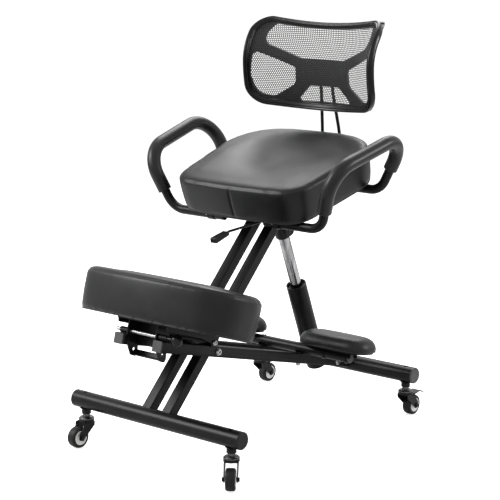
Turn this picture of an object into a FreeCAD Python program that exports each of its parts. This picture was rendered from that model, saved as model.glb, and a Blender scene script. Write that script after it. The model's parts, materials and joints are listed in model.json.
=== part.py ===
import FreeCAD, Part
import math
import os
from FreeCAD import Placement, Rotation, Vector

# Kneeling chair: two frames of tube cross at one pivot bolt and stand on four casters.
# A gas spring between them lifts the seat. X points to the right seen from the front,
# Y points back and Z up. The origin is on the floor, under the middle of the chair.
# A depth is measured back from the axis of the front base tube.

os.makedirs("parts", exist_ok=True)
doc = FreeCAD.newDocument("KneelingChair")
sheet = doc.addObject("Spreadsheet::Sheet", "Sizes")

sizes = {
    # whole frame
    "frame_shift": 321.69,         # depth of the origin
    "base_height": 108.8,         # axes of both base tubes above the floor
    "wheel_base": 656.6,          # depth of the rear base tube
    "base_tube_across": 40.0,
    "base_tube_wall": 1.5,
    "front_tube_length": 500.0,
    "rear_tube_length": 510.0,
    "front_stem_inset": 28.3,     # caster stems, in from the ends of the tube
    "rear_stem_inset": 24.1,
    "boss_across": 22.0,
    "boss_bottom": 77.0,
    "weld_flare": 4.0,
    "square_side": 25.0,          # square tube of legs and arms
    "square_wall": 1.5,
    "leg_out": 29.9,              # middle of each leg, out from the middle
    "side_gap": 3.0,              # between a leg and the arm beside it
    "leg_angle": 45.4,
    "leg_rise": 2.0,              # leg axis above the base tube axis
    "arm_angle": 14.8,
    "arm_length": 734.0,          # rear base tube axis to the front end
    "cap_thick": 4.0,
    "cap_plug": 9.0,
    # clearances
    "fit_gap": 0.05,              # round a pin that turns
    "washer_gap": 0.05,
    "spacer_gap": 0.5,
    "soft_gap": 0.3,              # round a soft piece
    "link_gap": 2.0,              # round the trunnions of the gas spring
    # bolts
    "pivot_across": 10.0,
    "knee_bolt_across": 8.0,
    "bolt_head_thick": 5.0,
    "washer_across": 22.0,
    "spacer_across": 17.0,
    # knee rest
    "knee_pivot_depth": 115.7,
    "knee_tube_across": 16.0,
    "knee_tube_length": 140.0,
    "knee_pitch": 18.8,           # front edge raised
    "knee_front": -62.0,          # depth of the cushion's front at its underside
    "knee_low": 349.5,            # height of the same edge
    "knee_half_width": 226.0,
    "knee_depth": 205.0,
    "knee_corner": 92.0,
    "knee_front_bulge": 20.0,
    "knee_back_bulge": 5.0,
    "knee_thick": 106.0,
    "knee_edge": 92.0,            # height of the top seam
    "knee_board_thick": 10.0,
    "board_inset": 8.0,
    "sheet_thick": 3.0,           # bracket steel
    "knee_cheek_out": 43.0,
    "knee_cheek_width": 42.0,
    "knee_cheek_low": 250.0,
    "knee_flange": 12.0,
    "ear_gap": 0.5,
    "rod_across": 8.0,
    "rod_depth": -33.0,
    "hole_pitch": 19.0,
    "hole_step": 11.0,
    "sleeve_across": 14.0,
    "sleeve_length": 24.0,
    "rod_far_end": 84.0,
    "knob_across": 27.0,
    "knob_out": 95.0,
    "knob_neck": 10.0,
    # seat
    "seat_pitch": 15.8,           # front edge lowered
    "seat_front": 277.1,
    "seat_low": 523.1,
    "seat_half_front": 193.6,
    "seat_half_back": 208.4,
    "seat_depth": 354.0,
    "seat_corner_front": 66.0,
    "seat_corner_back": 122.0,
    "seat_front_bulge": 6.0,
    "seat_back_bulge": 8.0,
    "seat_thick": 92.0,
    "seat_edge": 82.0,
    "seat_dish": 9.0,
    "seat_board_thick": 12.0,
    "mount_half_width": 52.0,     # steel mount under the seat
    "mount_front": 118.0,
    "mount_length": 212.0,
    "mount_flange": 14.0,
    # gas spring
    "gas_low_depth": 589.9,
    "gas_top_depth": 451.5,
    "gas_top_height": 476.0,
    "gas_tube_across": 50.0,
    "gas_tube_wall": 1.8,
    "gas_tube_rise": 217.4,       # lower pin to the tube's rim
    "gas_tube_tail": 22.0,
    "gas_foot_rise": 13.0,
    "column_across": 28.0,
    "column_start": 126.0,        # lower pin to the column's inner end
    "column_tip": 30.0,           # column above the trunnions
    "bush_length": 58.0,
    "bush_drop": 7.0,
    "head_across": 38.0,
    "head_below": 22.0,
    "head_above": 12.0,
    "trunnion_across": 12.0,
    "cheek_out": 22.5,
    "cheek_radius": 15.0,
    "button_across": 6.0,
    "button_rise": 6.0,
    "button_length": 18.0,
    # release lever
    "lever_pivot_depth": 388.0,
    "lever_rod_across": 6.0,
    "lever_bush_across": 12.0,
    "lever_bush_length": 30.0,
    "lever_tip_depth": 198.5,
    "lever_tip_height": 484.2,
    "lever_grip_length": 50.0,
    "lever_grip_tall": 13.0,
    "lever_grip_wide": 16.0,
    "lever_paddle": 22.0,
    "paddle_gap": 1.6,
    # handles
    "handle_across": 22.0,
    "handle_wall": 1.5,
    "grip_across": 33.0,
    "handle_in": 62.0,
    "handle_front_depth": 310.4,
    "handle_rear_depth": 532.0,
    "handle_low_out": 224.0,
    "handle_front_out": 278.1,
    "handle_top_front": 274.2,    # depth where the front leg meets the top
    "handle_front_top": 657.6,
    "handle_rear_out": 302.1,
    "handle_top_rear": 537.0,
    "handle_rear_top": 727.7,
    "handle_foot_out": 229.0,
    "handle_bend_low": 47.0,
    "handle_bend_front": 65.0,
    "handle_bend_rear": 66.0,
    "handle_bend_foot": 44.0,
    "saddle_thick": 2.0,
    "saddle_width": 18.0,
    "saddle_out": 100.0,
    # backrest
    "back_middle_depth": 590.5,   # where the back bulges forward most
    "back_middle_height": 865.0,
    "back_wing_radius": 388.0,
    "back_upper_radius": 125.0,
    "back_lower_radius": 331.0,
    "back_half_width": 194.5,
    "back_top": 978.0,
    "back_bottom": 760.0,
    "back_top_sag": 17.0,
    "back_bottom_bulge": 12.0,
    "back_top_corner": 37.0,
    "back_bottom_corner": 50.0,
    "bead_width": 13.0,
    "bead_deep": 14.0,
    "mesh_thick": 1.6,
    "carrier_back": 28.0,         # carrier plate behind the mesh, at the middle
    "carrier_radius": 268.0,
    "carrier_thick": 7.0,
    "carrier_half_plate": 80.0,
    "carrier_plate_top": 872.0,
    "carrier_plate_bottom": 806.0,
    "back_rod_across": 8.0,
    "back_rod_low_out": 32.0,
    "back_rod_top_out": 17.5,
    "back_rod_bend": 28.0,
    "rod_clamp_length": 42.0,
    "rod_clamp_drop": 14.0,
    # ankle rests
    "ankle_bar_depth": 455.0,
    "ankle_bar_across": 25.0,
    "ankle_bar_length": 410.0,
    "ankle_bolt_across": 6.0,
    "ankle_out": 166.0,
    "ankle_half_length": 100.0,
    "ankle_depth": 104.0,
    "ankle_corner": 46.0,
    "ankle_bulge": 4.0,
    "ankle_thick": 40.0,
    "ankle_pitch": 9.0,
    "ankle_board_thick": 6.0,
    "ankle_saddle_length": 100.0,
    "clip_apart": 66.0,
    "clip_width": 7.0,
    "clip_thick": 1.8,
    # casters
    "wheel_across": 50.0,
    "tread_width": 22.0,
    "hub_across": 34.0,
    "hub_width": 25.0,
    "caster_trail": 27.0,
    "fork_half_inside": 13.5,
    "fork_sheet": 2.0,
    "fork_crown": 58.0,
    "race_across": 36.0,
    "race_bottom": 64.4,
    "stem_across": 11.0,
    "stem_top": 100.0,
    "axle_across": 6.0,
    "pedal_width": 24.0,
    "pedal_length": 46.0,
    "pedal_thick": 2.4,
    "pedal_pin_run": 15.0,        # pin ahead of the stem axis
    "pedal_pin_height": 53.2,
    "pedal_pin_across": 4.0,
    "pedal_barrel": 7.2,
}

for row, (name, value) in enumerate(sizes.items(), start=1):
    sheet.set(f"A{row}", name)
    sheet.set(f"B{row}", str(value))
    sheet.setAlias(f"B{row}", name)
doc.recompute()


class Measures:
    pass


m = Measures()
for name in sizes:
    setattr(m, name, float(sheet.get(name)))

nodes = []


# General helpers

def at(x, depth, height):
    return Vector(x, depth - m.frame_shift, height)


def keep(piece):
    nodes.append(piece)
    return piece


def plane_of(body, role):
    return next(item for item in body.Origin.OriginFeatures if item.Role == role)


def new_body(label):
    body = doc.addObject("PartDesign::Body", label)
    body.Label = label
    return body


def sketch_on(body, role, loops, offset=0.0):
    sketch = body.newObject("Sketcher::SketchObject", body.Name + "_sketch")
    sketch.AttachmentSupport = [(plane_of(body, role), "")]
    sketch.MapMode = "FlatFace"
    sketch.AttachmentOffset = Placement(Vector(0, 0, offset), Rotation())
    for loop in loops:
        for edge in loop:
            sketch.addGeometry(edge, False)
    return sketch


def pad(body, sketch, length, both_ways=True):
    feature = body.newObject("PartDesign::Pad", body.Name + "_pad")
    feature.Profile = sketch
    feature.SideType = "Symmetric" if both_ways else "One side"
    feature.setExpression("Length", length)
    body.Tip = feature
    return feature


def pocket(body, sketch, length):
    feature = body.newObject("PartDesign::Pocket", body.Name + "_pocket")
    feature.Profile = sketch
    feature.SideType = "Symmetric"
    feature.setExpression("Length", length)
    body.Tip = feature
    return feature


def circle(x, y, radius):
    return [Part.Circle(Vector(x, y, 0), Vector(0, 0, 1), radius)]


def rounded(corners):
    # closed loop of lines through corners (x, y, radius), each corner an arc
    places = [Vector(x, y, 0) for x, y, _ in corners]
    count = len(corners)
    starts = []
    ends = []
    middles = []
    for i, (_, _, radius) in enumerate(corners):
        here = places[i]
        if radius == 0:
            starts.append(here)
            ends.append(here)
            middles.append(here)
            continue
        back = (places[i - 1] - here).normalize()
        ahead = (places[(i + 1) % count] - here).normalize()
        half = back.getAngle(ahead) / 2
        reach = radius / math.tan(half)
        bisector = (back + ahead).normalize()
        starts.append(here + back * reach)
        ends.append(here + ahead * reach)
        middles.append(here + bisector * (radius / math.sin(half) - radius))
    loop = []
    for i, (_, _, radius) in enumerate(corners):
        if radius > 0:
            loop.append(Part.Arc(starts[i], middles[i], ends[i]))
        loop.append(Part.LineSegment(ends[i], starts[(i + 1) % count]))
    return loop


def spun(label, profile):
    # turned piece about Z from a closed profile of (radius, height) corners
    body = new_body(label)
    sketch = sketch_on(body, "XZ_Plane", [rounded([(r, h, 0) for r, h in profile])])
    turn = body.newObject("PartDesign::Revolution", body.Name + "_turn")
    turn.Profile = sketch
    turn.ReferenceAxis = (sketch, ["V_Axis"])
    turn.Angle = 360
    body.Tip = turn
    return body


def shaped(label, shape, place=None):
    piece = doc.addObject("Part::Feature", label)
    piece.Label = label
    piece.Shape = shape
    if place is not None:
        piece.Placement = place.multiply(shape.Placement)
    return piece


def group(label, members):
    bundle = doc.addObject("Part::Compound", label)
    bundle.Label = label
    bundle.Links = members
    return bundle


def primitive(kind, label, place, **bound):
    piece = doc.addObject("Part::" + kind, label)
    piece.Label = label
    for prop, expression in bound.items():
        piece.setExpression(prop, expression)
    piece.Placement = place
    return piece


def joined(label, members):
    fuse = doc.addObject("Part::MultiFuse", label)
    fuse.Label = label
    fuse.Shapes = members
    return fuse


def less(label, base, tool):
    cut = doc.addObject("Part::Cut", label)
    cut.Label = label
    cut.Base = base
    cut.Tool = tool
    return cut


along_x = Rotation(Vector(0, 0, 1), Vector(1, 0, 0))
along_minus_x = Rotation(Vector(0, 0, 1), Vector(-1, 0, 0))
upright = Rotation()


def tilted(degrees):
    return Rotation(Vector(1, 0, 0), degrees)


# Frame geometry seen from the side, as (depth, height)

def side(depth, height):
    return (depth - m.frame_shift, height)


def along(start, degrees, run, rise=0.0):
    a = math.radians(degrees)
    return (start[0] + run * math.cos(a) - rise * math.sin(a),
            start[1] + run * math.sin(a) + rise * math.cos(a))


front_axis = (0.0, m.base_height)
rear_axis = (m.wheel_base, m.base_height)
arm_heading = 180.0 - m.arm_angle
arm_out = m.leg_out + m.square_side + m.side_gap
arm_outside = arm_out + m.square_side / 2
leg_outside = m.leg_out + m.square_side / 2
half_side = m.square_side / 2


def crossing(a, a_degrees, b, b_degrees):
    # where two lines in the side view meet
    ua = (math.cos(math.radians(a_degrees)), math.sin(math.radians(a_degrees)))
    ub = (math.cos(math.radians(b_degrees)), math.sin(math.radians(b_degrees)))
    cross = ua[0] * ub[1] - ua[1] * ub[0]
    run = ((b[0] - a[0]) * ub[1] - (b[1] - a[1]) * ub[0]) / cross
    return (a[0] + run * ua[0], a[1] + run * ua[1])


leg_start = along(front_axis, m.leg_angle, 0, m.leg_rise)
pivot = crossing(leg_start, m.leg_angle, rear_axis, arm_heading)

gas_low = crossing((m.gas_low_depth, 0), 90, rear_axis, arm_heading)
gas_top = (m.gas_top_depth, m.gas_top_height)
gas_run = math.dist(gas_low, gas_top)
gas_lean = math.degrees(math.atan2(gas_low[0] - gas_top[0], gas_top[1] - gas_low[1]))
gas_place = Placement(at(0, *gas_low), tilted(gas_lean))

seat_origin = (m.seat_front, m.seat_low)
seat_place = Placement(at(0, *seat_origin), tilted(m.seat_pitch))


def arm_line(depth, above=0.0):
    # height of a line parallel to the arms, a distance above their axis
    slope = math.tan(math.radians(m.arm_angle))
    return m.base_height + (m.wheel_base - depth) * slope + above / math.cos(math.radians(m.arm_angle))


knee_pivot_above = half_side + m.knee_tube_across / 2
knee_pivot = (m.knee_pivot_depth, arm_line(m.knee_pivot_depth, knee_pivot_above))


def to_local(point, origin, degrees):
    a = math.radians(degrees)
    run, rise = point[0] - origin[0], point[1] - origin[1]
    return (run * math.cos(a) + rise * math.sin(a), rise * math.cos(a) - run * math.sin(a))


# Base tubes with their caster bosses

def base_tube(label, length, depth, inset):
    start = Placement(at(-m_of(length) / 2, depth, m.base_height), along_x)
    outer = primitive("Cylinder", label + "_outer", start,
                      Radius="Sizes.base_tube_across / 2", Height="Sizes." + length)
    inner = primitive("Cylinder", label + "_inner", start,
                      Radius="Sizes.base_tube_across / 2 - Sizes.base_tube_wall", Height="Sizes." + length)
    pieces = [less(label + "_hollow", outer, inner)]
    bores = []
    tube_under = m.base_height - m.base_tube_across / 2
    stem_out = m_of(length) / 2 - inset
    for sign in (-1, 1):
        foot = Placement(at(sign * stem_out, depth, m.boss_bottom), upright)
        flare_at = Placement(at(sign * stem_out, depth, tube_under - m.weld_flare / 2), upright)
        pieces.append(primitive("Cylinder", label + "_boss", foot, Radius="Sizes.boss_across / 2",
                                Height="Sizes.base_height - Sizes.boss_bottom - Sizes.base_tube_wall"))
        pieces.append(primitive("Cone", label + "_weld", flare_at, Radius1="Sizes.boss_across / 2",
                                Radius2="Sizes.boss_across / 2 + Sizes.weld_flare",
                                Height="Sizes.weld_flare"))
        bores.append(primitive("Cylinder", label + "_bore", foot,
                               Radius="Sizes.stem_across / 2 + Sizes.fit_gap", Height="Sizes.base_height"))
    return keep(less(label, joined(label + "_body", pieces), joined(label + "_bores", bores)))


def m_of(name):
    return getattr(m, name)


base_tube("front_base_tube", "front_tube_length", 0.0, m.front_stem_inset)
base_tube("rear_base_tube", "rear_tube_length", m.wheel_base, m.rear_stem_inset)


def round_cap(label, across, wall, x, depth, height):
    outside = across / 2
    plug = outside - wall - m.fit_gap
    edge = m.cap_thick / 2
    sign = 1 if x > 0 else -1
    body = spun(label, [(0, -m.cap_plug), (plug, -m.cap_plug), (plug, 0), (outside, 0),
                        (outside, edge), (outside - edge / 2, m.cap_thick - edge / 2),
                        (outside - edge, m.cap_thick), (0, m.cap_thick)])
    body.Placement = Placement(at(x, depth, height), along_x if sign > 0 else along_minus_x)
    return body


front_caps = [round_cap("front_cap", m.base_tube_across, m.base_tube_wall,
                        sign * m.front_tube_length / 2, *front_axis) for sign in (-1, 1)]
keep(group("front_tube_caps", front_caps))


# Square tubes: legs of the seat frame and arms of the rear frame

def coped_tube(label, x, start, degrees, rise, tip_low, tip_high, holes):
    # lower end fits round a base tube, upper end runs between two tip points
    reach = m.base_tube_across / 2
    low, high = rise - half_side, rise + half_side

    def outline(low, high, tip_low, tip_high, cope):
        first = along(start, degrees, math.sqrt(cope ** 2 - low ** 2), low)
        last = along(start, degrees, math.sqrt(cope ** 2 - high ** 2), high)
        middle = along(start, degrees, cope)
        places = [Vector(*side(*p), 0) for p in (last, middle, first, tip_low, tip_high)]
        return [Part.Arc(places[0], places[1], places[2]),
                Part.LineSegment(places[2], places[3]),
                Part.LineSegment(places[3], places[4]),
                Part.LineSegment(places[4], places[0])]

    wall = m.square_wall
    body = new_body(label)
    loops = [outline(low, high, tip_low, tip_high, reach)]
    pad(body, sketch_on(body, "YZ_Plane", loops), "Sizes.square_side")
    inner_reach = half_side + wall
    far_low = along(tip_low, degrees, m.square_side, wall)
    far_high = along(tip_high, degrees, m.square_side, -wall)
    hollow = [outline(low + wall, high - wall, far_low, far_high, inner_reach)]
    pocket(body, sketch_on(body, "YZ_Plane", hollow), "Sizes.square_side - 2 * Sizes.square_wall")
    bores = [circle(*side(*place), radius) for place, radius in holes]
    if bores:
        pocket(body, sketch_on(body, "YZ_Plane", bores), "2 * Sizes.square_side")
    body.Placement = Placement(Vector(x, 0, 0), upright)
    return body


pivot_hole = (pivot, m.pivot_across / 2 + m.fit_gap)
lever_pivot = crossing(leg_start, m.leg_angle, (m.lever_pivot_depth, 0), 90)
lever_pin_hole = (lever_pivot, m.lever_rod_across / 2 + m.fit_gap)

mount_under = along(seat_origin, m.seat_pitch, 0, -m.sheet_thick)
leg_low_edge = along(front_axis, m.leg_angle, 0, m.leg_rise - half_side)
leg_high_edge = along(front_axis, m.leg_angle, 0, m.leg_rise + half_side)
leg_tip_low = crossing(leg_low_edge, m.leg_angle, mount_under, m.seat_pitch)
leg_tip_high = crossing(leg_high_edge, m.leg_angle, mount_under, m.seat_pitch)
for side_name, sign in (("left", -1), ("right", 1)):
    keep(coped_tube(side_name + "_leg", sign * m.leg_out, front_axis, m.leg_angle, m.leg_rise,
                    leg_tip_low, leg_tip_high, [pivot_hole, lever_pin_hole]))

arm_tip_low = along(rear_axis, arm_heading, m.arm_length, -half_side)
arm_tip_high = along(rear_axis, arm_heading, m.arm_length, half_side)
anchor_hole = (gas_low, m.pivot_across / 2 + m.fit_gap)
bar_radius = m.ankle_bar_across / 2
bar_spot = (m.ankle_bar_depth, arm_line(m.ankle_bar_depth, half_side + bar_radius))
for side_name, sign in (("left", -1), ("right", 1)):
    tube = coped_tube(side_name + "_arm_tube", sign * arm_out, rear_axis, arm_heading, 0.0,
                      arm_tip_low, arm_tip_high, [pivot_hole, anchor_hole])
    bore = primitive("Cylinder", side_name + "_bolt_bore",
                     Placement(at(sign * arm_out, *bar_spot), tilted(180 - m.arm_angle)),
                     Radius="Sizes.ankle_bolt_across / 2 + Sizes.fit_gap", Height="2 * Sizes.square_side")
    keep(less(side_name + "_arm", tube, bore))


def square_cap(label, x):
    # local X across, Z out of the tube's end
    half = half_side
    plug = half - m.square_wall - m.fit_gap
    corner = m.cap_thick / 2
    body = new_body(label)
    face = rounded([(-half, -half, corner), (half, -half, corner),
                    (half, half, corner), (-half, half, corner)])
    pad(body, sketch_on(body, "XY_Plane", [face]), "Sizes.cap_thick", both_ways=False)
    inside = rounded([(-plug, -plug, 1), (plug, -plug, 1), (plug, plug, 1), (-plug, plug, 1)])
    pad(body, sketch_on(body, "XY_Plane", [inside], -m.cap_plug), "Sizes.cap_plug + 1", both_ways=False)
    tip = along(rear_axis, arm_heading, m.arm_length)
    heading = Vector(0, -math.cos(math.radians(m.arm_angle)), math.sin(math.radians(m.arm_angle)))
    body.Placement = Placement(at(x, *tip), Rotation(Vector(0, 0, 1), heading))
    return body


rear_caps = [round_cap("rear_cap", m.base_tube_across, m.base_tube_wall,
                       sign * m.rear_tube_length / 2, *rear_axis) for sign in (-1, 1)]
arm_caps = [square_cap("arm_cap", sign * arm_out) for sign in (-1, 1)]


# Cross bolts: button head on the right, nut on the left

def hexagon(across):
    reach = across / math.sqrt(3)
    return rounded([(reach * math.cos(math.radians(60 * i)), reach * math.sin(math.radians(60 * i)), 0)
                    for i in range(6)])


def cross_bolt(label, place, across, outside):
    radius = across / 2
    head = radius * 1.7
    thick = m.bolt_head_thick
    start = -outside - m.fit_gap - thick * 1.6
    top = outside + m.fit_gap
    bolt = spun(label + "_shank", [(0, start), (radius, start), (radius, top), (head, top),
                                   (head, top + thick * 0.4), (head * 0.75, top + thick),
                                   (0, top + thick)])
    socket = [hexagon(across * 0.6)]
    pocket(bolt, sketch_on(bolt, "XY_Plane", socket, top + thick), "Sizes.bolt_head_thick")
    bolt.Placement = Placement(at(0, *place), along_x)
    nut = new_body(label + "_nut")
    face = [hexagon(across * 1.7), circle(0, 0, radius + m.fit_gap)]
    pad(nut, sketch_on(nut, "XY_Plane", face), "Sizes.bolt_head_thick", both_ways=False)
    nut.Placement = Placement(at(-outside - m.fit_gap, *place), along_minus_x)
    return [bolt, nut]


def ring(label, place, x_from, x_to, outside, inside):
    length = x_to - x_from
    body = spun(label, [(inside, 0), (outside, 0), (outside, length), (inside, length)])
    body.Placement = Placement(at(x_from, *place), along_x)
    return body


keep(group("frame_bolts", cross_bolt("pivot", pivot, m.pivot_across, arm_outside)
           + cross_bolt("anchor", gas_low, m.pivot_across, arm_outside)))
pivot_bore = m.pivot_across / 2 + m.fit_gap
gap = m.washer_gap
spacers = [ring("pivot_spacer", pivot, -m.leg_out + half_side + gap, m.leg_out - half_side - gap,
                m.spacer_across / 2, pivot_bore)]
for sign in (-1, 1):
    ends = sorted((sign * (leg_outside + gap), sign * (leg_outside + m.side_gap - gap)))
    spacers.append(ring("pivot_washer", pivot, *ends, m.washer_across / 2, pivot_bore))
    tube_side = m.gas_tube_across / 2 + m.spacer_gap
    ends = sorted((sign * tube_side, sign * (arm_out - half_side - gap)))
    spacers.append(ring("anchor_spacer", gas_low, *ends, m.spacer_across / 2, pivot_bore))
keep(group("frame_spacers", spacers))


# Gas spring: black outer tube on its anchor bolt, chrome column with a trunnion head

tube_radius = m.gas_tube_across / 2


def gas_tube():
    inside = tube_radius - m.gas_tube_wall
    edge = 2.0
    body = spun("gas_tube", [(0, -m.gas_tube_tail), (tube_radius - edge, -m.gas_tube_tail),
                             (tube_radius, -m.gas_tube_tail + edge), (tube_radius, m.gas_tube_rise),
                             (inside, m.gas_tube_rise), (inside, m.gas_foot_rise), (0, m.gas_foot_rise)])
    pocket(body, sketch_on(body, "YZ_Plane", [circle(0, 0, pivot_bore)]), "2 * Sizes.gas_tube_across")
    body.Placement = gas_place
    return keep(body)


gas_tube()
column_radius = m.column_across / 2
bush_top = m.gas_tube_rise - m.bush_drop
bush_outside = tube_radius - m.gas_tube_wall - m.fit_gap
bush_inside = column_radius + m.fit_gap
bush = spun("gas_bush", [(bush_inside, bush_top - m.bush_length), (bush_outside, bush_top - m.bush_length),
                         (bush_outside, bush_top), (bush_inside + 3, bush_top), (bush_inside, bush_top - 3)])
bush.Placement = gas_place
keep(bush)

column_top = gas_run + m.column_tip
button_bore = m.button_across / 2 + m.fit_gap
button_top = column_top + m.button_rise
column = spun("gas_column", [(0, m.column_start), (column_radius - 1, m.column_start),
                             (column_radius, m.column_start + 1), (column_radius, column_top - 2),
                             (column_radius - 2, column_top), (button_bore, column_top),
                             (button_bore, button_top - m.button_length - 5),
                             (0, button_top - m.button_length - 5)])
column.Placement = gas_place
keep(column)


def trunnion_head():
    head_radius = m.head_across / 2
    body = spun("column_head", [(column_radius + m.fit_gap, -m.head_below), (head_radius - 2, -m.head_below),
                                (head_radius, -m.head_below + 2), (head_radius, m.head_above - 3),
                                (head_radius - 3, m.head_above), (column_radius + m.fit_gap, m.head_above)])
    reach = m.cheek_out + m.sheet_thick / 2 + 3
    for sign in (-1, 1):
        sketch = sketch_on(body, "YZ_Plane", [circle(0, 0, m.trunnion_across / 2)],
                           sign * (head_radius - 2))
        stub = pad(body, sketch, f"{reach - head_radius + 2}", both_ways=False)
        stub.Reversed = sign < 0
    body.Placement = Placement(at(0, *gas_top), tilted(gas_lean))
    return keep(body)


trunnion_head()
button_radius = m.button_across / 2
button_low = button_top - m.button_length
button = spun("valve_button", [(0, button_low), (button_radius, button_low),
                               (button_radius, button_top - 1), (button_radius - 1, button_top),
                               (0, button_top)])
button.Placement = gas_place
keep(button)


# Plan outline of a cushion or board: eight tangent arcs and lines, drawn in by an inset

def plan_wire(front, back, depth, corner_front, corner_back, bulge_front, bulge_back, inset, height):
    front_out = front - corner_front
    back_out = back - corner_back
    # the long arcs touch the corner circles from outside
    front_big = (front_out ** 2 + bulge_front ** 2 + 2 * bulge_front * corner_front) / (2 * bulge_front)
    front_big += corner_front
    back_big = (back_out ** 2 + bulge_back ** 2 + 2 * bulge_back * corner_back) / (2 * bulge_back)
    back_big += corner_back
    front_centre = Vector(0, front_big - bulge_front, height)
    back_centre = Vector(0, depth - back_big + bulge_back, height)
    drop_front = math.sqrt((front_big - corner_front) ** 2 - front_out ** 2)
    drop_back = math.sqrt((back_big - corner_back) ** 2 - back_out ** 2)
    near = Vector(front_out, front_centre.y - drop_front, height)
    far = Vector(back_out, back_centre.y + drop_back, height)
    span = far - near
    lean = (corner_front - corner_back) / span.Length
    ahead = Vector(span).normalize()
    out = Vector(ahead.y, -ahead.x, 0) * math.sqrt(1 - lean ** 2) + ahead * lean

    def spot(centre, heading, radius):
        return centre + Vector(heading).normalize() * (radius - inset)

    a = spot(front_centre, near - front_centre, front_big)
    b = near + out * (corner_front - inset)
    c = far + out * (corner_back - inset)
    d = spot(back_centre, far - back_centre, back_big)
    ab = spot(near, (near - front_centre).normalize() + out, corner_front)
    cd = spot(far, (far - back_centre).normalize() + out, corner_back)
    front_mid = Vector(0, -bulge_front + inset, height)
    back_mid = Vector(0, depth + bulge_back - inset, height)

    def flip(point):
        return Vector(-point.x, point.y, point.z)

    edges = [Part.Arc(flip(a), front_mid, a), Part.Arc(a, ab, b), Part.LineSegment(b, c),
             Part.Arc(c, cd, d), Part.Arc(d, back_mid, flip(d)), Part.Arc(flip(d), flip(cd), flip(c)),
             Part.LineSegment(flip(c), flip(b)), Part.Arc(flip(b), flip(ab), flip(a))]
    return Part.Wire([edge.toShape() for edge in edges])


def padded_form(plan, layers):
    # smooth loft through plan outlines, each an (inset, height)
    wires = [plan_wire(*plan, inset, height) for inset, height in layers]
    return Part.makeLoft(wires, True, False)


def slab(plan, inset, low, high):
    face = Part.Face(plan_wire(*plan, inset, low))
    return face.extrude(Vector(0, 0, high - low))


seat_plan = (m.seat_half_front, m.seat_half_back, m.seat_depth, m.seat_corner_front,
             m.seat_corner_back, m.seat_front_bulge, m.seat_back_bulge)
knee_plan = (m.knee_half_width, m.knee_half_width, m.knee_depth, m.knee_corner,
             m.knee_corner, m.knee_front_bulge, m.knee_back_bulge)
ankle_plan = (m.ankle_half_length, m.ankle_half_length, m.ankle_depth, m.ankle_corner,
              m.ankle_corner, m.ankle_bulge, m.ankle_bulge)


def cushion(plan, edge, thick, board_thick, draw):
    sides = Part.makeLoft([plan_wire(*plan, draw, 0), plan_wire(*plan, draw * 0.3, edge * 0.35),
                           plan_wire(*plan, 0, edge)], True, False)
    rise = thick - edge
    crown = padded_form(plan, [(0, edge), (rise * 0.35, edge + rise * 0.6), (rise * 1.6, edge + rise * 0.88),
                               (rise * 4.5, thick)])
    recess = slab(plan, m.board_inset - m.soft_gap, -1, board_thick + m.soft_gap)
    return sides.fuse(crown).cut(recess)


# Seat: cushion with a shallow dish, wooden board and steel mount

def seat_cushion():
    form = cushion(seat_plan, m.seat_edge, m.seat_thick, m.seat_board_thick, 5.0)
    dish_radius = 900.0
    centre = Vector(0, m.seat_depth * 0.62, m.seat_thick - m.seat_dish + dish_radius)
    form = form.cut(Part.makeSphere(dish_radius, centre))
    return keep(shaped("seat_cushion", form, seat_place))


seat_cushion()
keep(shaped("seat_board", slab(seat_plan, m.board_inset, 0, m.seat_board_thick), seat_place))

rod_line = -m.sheet_thick - m.rod_clamp_drop      # back rods under the seat, local height
clamp_start = m.mount_front + m.mount_length - m.rod_clamp_length


def seat_mount():
    body = new_body("seat_mount")
    half, front, back = m.mount_half_width, m.mount_front, m.mount_front + m.mount_length
    plate = rounded([(-half, front, 10), (half, front, 10), (half, back, 10), (-half, back, 10)])
    sketch = sketch_on(body, "XY_Plane", [plate], -m.sheet_thick)
    pad(body, sketch, "Sizes.sheet_thick", both_ways=False)
    under = -m.sheet_thick / 2
    flange = rounded([(front + 12, under, 0), (front + 12 + m.mount_flange, -m.mount_flange, 4),
                      (back - 12 - m.mount_flange, -m.mount_flange, 4), (back - 12, under, 0)])
    for sign in (-1, 1):
        sketch = sketch_on(body, "YZ_Plane", [flange], sign * (half - m.sheet_thick / 2))
        pad(body, sketch, "Sizes.sheet_thick")
    # tapered cheeks that hold the trunnions, behind the legs
    hold = to_local(gas_top, seat_origin, m.seat_pitch)
    leg_back = to_local(leg_tip_low, seat_origin, m.seat_pitch)[0]
    radius = m.cheek_radius
    top_front = (leg_back + 6, under)
    top_back = (leg_back + 66, under)
    cheek = rounded([(top_front[0], under, 0), (hold[0] - radius, hold[1] + radius * 0.4, 0),
                     (hold[0] - radius, hold[1] - radius, radius * 0.9),
                     (hold[0] + radius, hold[1] - radius, radius * 0.9),
                     (hold[0] + radius, hold[1] + radius * 0.4, 0), (top_back[0], under, 0)])
    bore = circle(*hold, m.trunnion_across / 2 + m.link_gap)
    for sign in (-1, 1):
        sketch = sketch_on(body, "YZ_Plane", [cheek, bore], sign * (m.cheek_out + m.sheet_thick))
        pad(body, sketch, "Sizes.sheet_thick")
    # clamp block that holds the back rods
    block = rounded([(clamp_start, under, 0), (clamp_start, rod_line - m.back_rod_across, 3),
                     (clamp_start + m.rod_clamp_length, rod_line - m.back_rod_across, 3),
                     (clamp_start + m.rod_clamp_length, under, 0)])
    for sign in (-1, 1):
        sketch = sketch_on(body, "YZ_Plane", [block], sign * m.back_rod_low_out)
        pad(body, sketch, "Sizes.back_rod_across * 2.5")
    rod_bore = m.back_rod_across / 2 + m.fit_gap
    bores = [circle(sign * m.back_rod_low_out, rod_line, rod_bore) for sign in (-1, 1)]
    pocket(body, sketch_on(body, "XZ_Plane", bores, -clamp_start - m.rod_clamp_length / 2),
           "Sizes.rod_clamp_length + 4")
    body.Placement = seat_place
    return keep(body)


seat_mount()


# Smooth path through points with a bend radius at each inner point

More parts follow.
